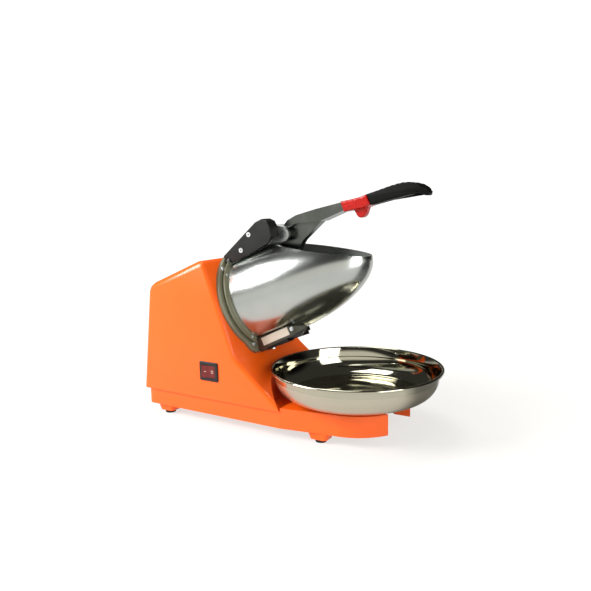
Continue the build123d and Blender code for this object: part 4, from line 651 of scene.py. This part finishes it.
def cover_form(name, inset):
    """Outside of the cover drawn in by an inset, with its corners rounded as moulded."""
    wall = inset * LEANING_WALL
    outline = [
        (COVER_REAR - REAR_TUCK + inset, SEAM - COVER_SKIRT),
        (COVER_REAR + REAR_LEAN + wall, REAR_TOP - inset),
        (RIDGE_X - wall + inset * RIDGE_DRAW, RIDGE_TOP - inset),
        (FACE_FOOT_X - wall, FACE_FOOT_TOP - inset / 2),
        (APRON_END - APRON_DRAW * inset, DECK),
        (APRON_END - APRON_DRAW * inset, SEAM - COVER_SKIRT),
    ]
    across = [0.0, TOP_ROUND - inset, TOP_ROUND - inset, FACE_FOOT_ROUND, 0.0, 0.0]
    along = [side - inset for side in SIDE_ROUNDS] + [0.0, 0.0]
    return prism(name, outline, cover_half_width(inset), across, along, 8)


def bowl_bay(name, grow):
    """Flared room for the bowl, as a cutting tool."""
    rim = BOWL_HIGH.z / MM
    rim_radius = BAY_RIM_RADIUS + grow
    bay = round_tool(name, BAY_LOW_RADIUS + grow, rim_radius, BAY_START - grow, rim, BOWL_PLACE)
    above = round_tool("bay_top", rim_radius, rim_radius, rim - BAY_OVERLAP, BAY_END, BOWL_PLACE)
    carve(bay, above, "UNION")
    return bay


def build_cover():
    """Moulded cover: a rounded shell with its openings for head, switch and cord."""
    cover = cover_form("cover_shell", 0.0)
    carve(cover, bowl_bay("bay", 0.0))
    hollow = cover_form("hollow", COVER_WALL)
    carve(hollow, bowl_bay("bay_wall", COVER_WALL))
    carve(cover, hollow)
    carve(cover, block_tool("skirt", *BEYOND_SKIRT, UPRIGHT))
    carve(cover, round_tool(
        "head_opening", HEAD_OPENING, HEAD_OPENING, -HEAD_OPENING_REACH, HEAD_OPENING_REACH, HEAD,
    ))
    carve(cover, block_tool("tab_recess", *TAB_RECESS, HEAD))
    low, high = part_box("switch_bezel")
    middle = (low + high) / 2
    switch_place = Matrix.Translation((middle.x, low.y, middle.z))
    carve(cover, block_tool(
        "switch_opening", (-SWITCH_HALF_LONG, SWITCH_HALF_LONG), SWITCH_REACH,
        (-SWITCH_HALF_HIGH, SWITCH_HALF_HIGH), switch_place,
    ))
    low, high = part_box("cord_inlet")
    middle = (low + high) / 2
    inlet_place = Matrix.Translation(middle) @ Matrix.Rotation(INLET_LEAN, 4, "Y")
    carve(cover, round_tool(
        "inlet_opening", INLET_OPENING, INLET_OPENING, -INLET_REACH, INLET_REACH, inlet_place,
    ))
    smooth(cover)
    join_to_frame(cover, [FINISHES["orange_abs"]], "frame", "orange_abs", "housing_cover")


# ---- Hopper ----

# Radii are about the head's Z and heights are out from the head's face
HOPPER_ROOT = 70.0
HOPPER_NOSE = 216.0
HOPPER_STRAIGHT = 20.0
HOPPER_SHEET = 1.5
HOPPER_FOOT = 10.1
# Power of its curve, where 2 would be a plain ellipse
HOPPER_FULLNESS = 2.15
HOPPER_STEPS = 56
HOPPER_TURNS = 192
FLANGE_RADIUS = 77.0
FLANGE_TOP = 12.1
FLANGE_CHAMFER = 0.3
FLANGE_FILLET = 2.2
FILLET_STEPS = 6
# The paint of the flange and its fillet stops here, and stays clear of the sheet
PAINT_TOP = 14.4
PAINT_CLEAR = 0.02
SHEET_FACE, PAINTED_FACE, INSIDE_FACE = 0, 1, 2
MOUTH_SLOPE = math.radians(6.0)
MOUTH_POINT = Vector((-17.9, 0.0, 269.5)) * MM
CHUTE_FLAT = ((-120.0, -71.4), (-120.0, 120.0), (0.0, 19.0))


def hopper_profile(sheet):
    """(radius, out) points of the hopper's outside from nose to root, drawn in by its sheet."""
    points = []
    nose = HOPPER_NOSE - sheet
    for step in range(HOPPER_STEPS + 1):
        reach = math.sin(math.pi / 2 * (1 - step / HOPPER_STEPS))
        radius = (HOPPER_ROOT - sheet) * math.sqrt(max(0.0, 1 - reach ** HOPPER_FULLNESS))
        points.append((radius, HOPPER_STRAIGHT + (nose - HOPPER_STRAIGHT) * reach))
    return points


def build_hopper():
    """Spun hopper with its painted foot flange, cut open along the mouth."""
    fillet = []
    for step in range(FILLET_STEPS + 1):
        turn = math.pi / 2 * step / FILLET_STEPS
        fillet.append((
            HOPPER_ROOT + FLANGE_FILLET * (1 - math.cos(turn)),
            FLANGE_TOP + FLANGE_FILLET * (1 - math.sin(turn)),
        ))
    flange = [
        (FLANGE_RADIUS - FLANGE_CHAMFER, FLANGE_TOP), (FLANGE_RADIUS, FLANGE_TOP - FLANGE_CHAMFER),
        (FLANGE_RADIUS, HOPPER_FOOT), (HOPPER_ROOT - HOPPER_SHEET, HOPPER_FOOT),
    ]
    inside = list(reversed(hopper_profile(HOPPER_SHEET)))
    shape = lathe(hopper_profile(0.0) + fillet + flange + inside, HOPPER_TURNS, HEAD)
    upward = Vector((math.sin(MOUTH_SLOPE), 0.0, math.cos(MOUTH_SLOPE)))
    everything = list(shape.verts) + list(shape.edges) + list(shape.faces)
    bmesh.ops.bisect_plane(
        shape, geom=everything, plane_co=MOUTH_POINT, plane_no=upward, clear_outer=True, dist=1e-7,
    )
    open_edges = [edge for edge in shape.edges if edge.is_boundary]
    bmesh.ops.bridge_loops(shape, edges=open_edges)
    piece = to_object("hopper_shell", shape)
    carve(piece, block_tool("chute_flat", *CHUTE_FLAT, HEAD))
    finishes = [FINISHES["hopper_aluminium"], FINISHES["painted_casting"], FINISHES["hopper_inside"]]
    join_to_frame(piece, finishes, "frame", "hopper_aluminium", "hopper")
    to_head = HEAD.inverted()
    for face in piece.data.polygons:
        spot = to_head @ face.center
        way = to_head.to_3x3() @ face.normal
        radius = math.hypot(spot.x, spot.y) / MM
        on_flange = spot.z / MM < PAINT_TOP and radius > HOPPER_ROOT + PAINT_CLEAR
        faces_inward = way.x * spot.x + way.y * spot.y < 0
        face.material_index = PAINTED_FACE if on_flange else INSIDE_FACE if faces_inward else SHEET_FACE
    smooth(piece, 40.0)


# ---- Bowl ----

BOWL_SHEET = 1.0
BOWL_BEAD = 2.2
BOWL_FOOT = 86.0
BOWL_FLOOR = BOWL_FOOT - 6.0
BOWL_CORNER = 32.0
BOWL_WALL_SWEEP = 86
BOWL_WALL_STEPS = 24
BEAD_START = -130
BEAD_SWEEP = 290
BEAD_STEPS = 18
BOWL_TURNS = 224


def build_bowl():
    """Spun bowl: satin outside, mirror inside, and a rolled rim."""
    low = BOWL_LOW.z / MM
    top = BOWL_HIGH.z / MM
    outside = [(radius, low) for radius in (0.0, BOWL_FOOT * 0.5, BOWL_FLOOR)]
    inside = [(radius, height + BOWL_SHEET) for radius, height in outside]
    inner = BOWL_CORNER - BOWL_SHEET
    for step in range(BOWL_WALL_STEPS + 1):
        turn = math.radians(-90 + BOWL_WALL_SWEEP * step / BOWL_WALL_STEPS)
        outside.append((BOWL_FOOT + BOWL_CORNER * math.cos(turn), low + BOWL_CORNER * (1 + math.sin(turn))))
        inside.append((BOWL_FOOT + inner * math.cos(turn), low + BOWL_CORNER + inner * math.sin(turn)))
    centre = (BOWL_HIGH.x - BOWL_LOW.x) / 2 / MM - BOWL_BEAD
    rim = []
    for step in range(BEAD_STEPS + 1):
        turn = math.radians(BEAD_START + BEAD_SWEEP * step / BEAD_STEPS)
        rim.append((centre + BOWL_BEAD * math.cos(turn), top - BOWL_BEAD + BOWL_BEAD * math.sin(turn)))
    shape = lathe(outside + rim + list(reversed(inside)), BOWL_TURNS, BOWL_PLACE)
    piece = to_object("bowl_shell", shape)
    join_to_frame(piece, [FINISHES["bowl_steel"], FINISHES["bowl_outside"]], "bowl", "bowl_steel", "bowl")
    outer_faces = (len(outside) - 1) * BOWL_TURNS
    for face in piece.data.polygons:
        face.material_index = 1 if face.index < outer_faces else 0
    smooth(piece, 50.0)


# ---- Hand grip and hand guard ----

# The lever's pivot, from which both are measured in side view
PIVOT_X = -2.54
PIVOT_Z = 284.01
SLEEVE_HALF = 14.0
SLEEVE_ROUND = 2.6
LUG_HALF = 7.0
LUG_ROUND = 2.4
GRIP_HALF = 12.9
GRIP_ROUND = 2.4
# The grip's free end narrows over this length, to this share of its half width squared
GRIP_END = 12.0
GRIP_END_FULLNESS = 2.6
GRIP_END_SHARE = 0.28
# Finger ripples along the first part of its back
RIPPLE_PITCH = 7.5
RIPPLE_DEPTH = 0.55
RIPPLE_SHARE = 0.8


def from_pivot(points):
    """Side-view points measured from the lever's pivot, in mm."""
    return [(PIVOT_X + x, PIVOT_Z + z) for x, z in points]


def curve_through(points, per_span):
    """Smooth run of points through (x, z) points."""
    run = []
    last = len(points) - 1
    for i in range(last):
        before = points[max(i - 1, 0)]
        start, end = points[i], points[i + 1]
        after = points[min(i + 2, last)]
        for step in range(per_span):
            t = step / per_span
            run.append(tuple(
                0.5 * (
                    2 * b + (c - a) * t + (2 * a - 5 * b + 4 * c - d) * t * t
                    + (3 * b - a - 3 * c + d) * t ** 3
                )
                for a, b, c, d in zip(before, start, end, after)
            ))
    run.append(points[-1])
    return run


def soft_bar(name, outline, half_width, rounding):
    """Bar across Y from a closed side view, with its long edges rounded."""
    count = len(outline)
    return prism(name, outline, half_width, [0.0] * count, [rounding] * count, 5)


def build_guard():
    """Red moulded sleeve with its narrower round lug."""
    outline = curve_through(from_pivot([(89.2, 46.2), (104.4, 48.7), (119.4, 52.0), (128.5, 55.3)]), 4)
    outline += from_pivot([(134.7, 40.7)])
    outline += curve_through(from_pivot([
        (128.6, 38.4), (121.0, 36.2), (113.0, 35.0), (104.0, 33.6), (94.6, 31.8),
    ]), 4)
    guard = soft_bar("guard_sleeve", outline, lambda x: SLEEVE_HALF, SLEEVE_ROUND)
    lug_outline = curve_through(from_pivot([
        (131.0, 42.0), (127.4, 36.0), (125.2, 29.4), (121.6, 24.6), (117.0, 23.4), (112.6, 25.4),
        (110.0, 29.6), (106.6, 34.4), (103.0, 40.0),
    ]), 4)
    lug = soft_bar("guard_lug", lug_outline, lambda x: LUG_HALF, LUG_ROUND)
    carve(guard, lug, "UNION")
    smooth(guard, 40.0)
    join_to_frame(guard, [FINISHES["red_plastic"]], "lever", "red_plastic", "hand_guard")


def build_grip():
    """Soft grip with finger ripples along its back and a hooked round end."""
    back = curve_through(from_pivot([
        (128.8, 55.5), (145.0, 60.4), (166.0, 66.7), (184.0, 70.1), (200.0, 68.1), (210.5, 62.6),
        (215.2, 57.6), (216.0, 54.2),
    ]), 12)
    rippled = []
    for place, (x, z) in enumerate(back):
        share = place / (len(back) - 1)
        depth = RIPPLE_DEPTH * math.sin(math.pi * min(1.0, share / RIPPLE_SHARE))
        wave = (1 - math.cos(2 * math.pi * (x - PIVOT_X) / RIPPLE_PITCH)) / 2
        rippled.append((x, z - depth * wave))
    under = curve_through(from_pivot([
        (213.6, 51.9), (210.4, 52.3), (203.0, 55.0), (190.0, 53.3), (160.0, 46.7), (135.1, 40.7),
    ]), 8)
    end = GRIP_HIGH.x / MM

    def half(x):
        """Half width, rounded off at the free end."""
        near_end = max(0.0, x - (end - GRIP_END)) / GRIP_END
        return GRIP_HALF * math.sqrt(max(GRIP_END_SHARE, 1 - near_end ** GRIP_END_FULLNESS))

    grip = soft_bar("grip_sleeve", rippled + under, half, GRIP_ROUND)
    smooth(grip, 45.0)
    join_to_frame(grip, [FINISHES["black_grip"]], "lever", "black_grip", "hand_grip")


# ---- Marks on the rocker ----

# The paint stands proud of the rocker's face and reaches a little into it
PAINT_PROUD = 0.12
PAINT_SUNK = -0.1
BAR_STATIONS = (-7.6, -6.4, -5.2, -4.0)
BAR_HALF = 0.45
RING_CENTRE = 6.2
RING_RADII = (1.25, 2.0)
RING_TALLER = 1.15
RING_STEPS = 24
STAND_OFF = 10


def build_marks():
    """Pale paint in the rocker's two marks, a short bar and a ring, laid on its face."""
    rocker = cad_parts["switch_rocker"]
    low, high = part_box("switch_rocker")
    centre = (low + high) / 2
    into = rocker.matrix_world.inverted()
    inward = (into.to_3x3() @ Vector((0.0, 1.0, 0.0))).normalized()

    def on_face(across, up, lift):
        """Point on the rocker's face, raised by a lift."""
        start = Vector((centre.x + across * MM, low.y - STAND_OFF * MM, centre.z + up * MM))
        hit, spot, _, _ = rocker.ray_cast(into @ start, inward)
        spot = rocker.matrix_world @ spot if hit else Vector((start.x, low.y, start.z))
        return Vector((spot.x, spot.y - lift * MM, spot.z))

    def strip(shape, inner, outer, closed):
        """Thin raised strip of paint between two runs of (across, up) points."""
        raised, sunk = (
            [[shape.verts.new(on_face(*point, lift)) for point in run] for run in (inner, outer)]
            for lift in (PAINT_PROUD, PAINT_SUNK)
        )
        count = len(inner)
        for i in range(count if closed else count - 1):
            j = (i + 1) % count
            shape.faces.new((raised[0][i], raised[0][j], raised[1][j], raised[1][i]))
            shape.faces.new((sunk[0][i], sunk[1][i], sunk[1][j], sunk[0][j]))
            shape.faces.new((raised[0][i], sunk[0][i], sunk[0][j], raised[0][j]))
            shape.faces.new((raised[1][i], raised[1][j], sunk[1][j], sunk[1][i]))
        if not closed:
            for i in (0, count - 1):
                shape.faces.new((raised[0][i], raised[1][i], sunk[1][i], sunk[0][i]))

    shape = bmesh.new()
    strip(shape, *([(x, up) for x in BAR_STATIONS] for up in (-BAR_HALF, BAR_HALF)), False)
    turns = [2 * math.pi * step / RING_STEPS for step in range(RING_STEPS)]
    strip(shape, *(
        [(RING_CENTRE + radius * math.cos(t), radius * RING_TALLER * math.sin(t)) for t in turns]
        for radius in RING_RADII
    ), True)
    marks = to_object("rocker_marks", shape)
    marks.data.materials.append(FINISHES["mark_paint"])
    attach(marks, "rocker")


build_cover()
build_hopper()
build_bowl()
build_guard()
build_grip()
build_marks()

place_camera()
build_world()
build_stage()
build_lights()
finish_cad_nodes()

bpy.context.scene.view_settings.view_transform = "Standard"
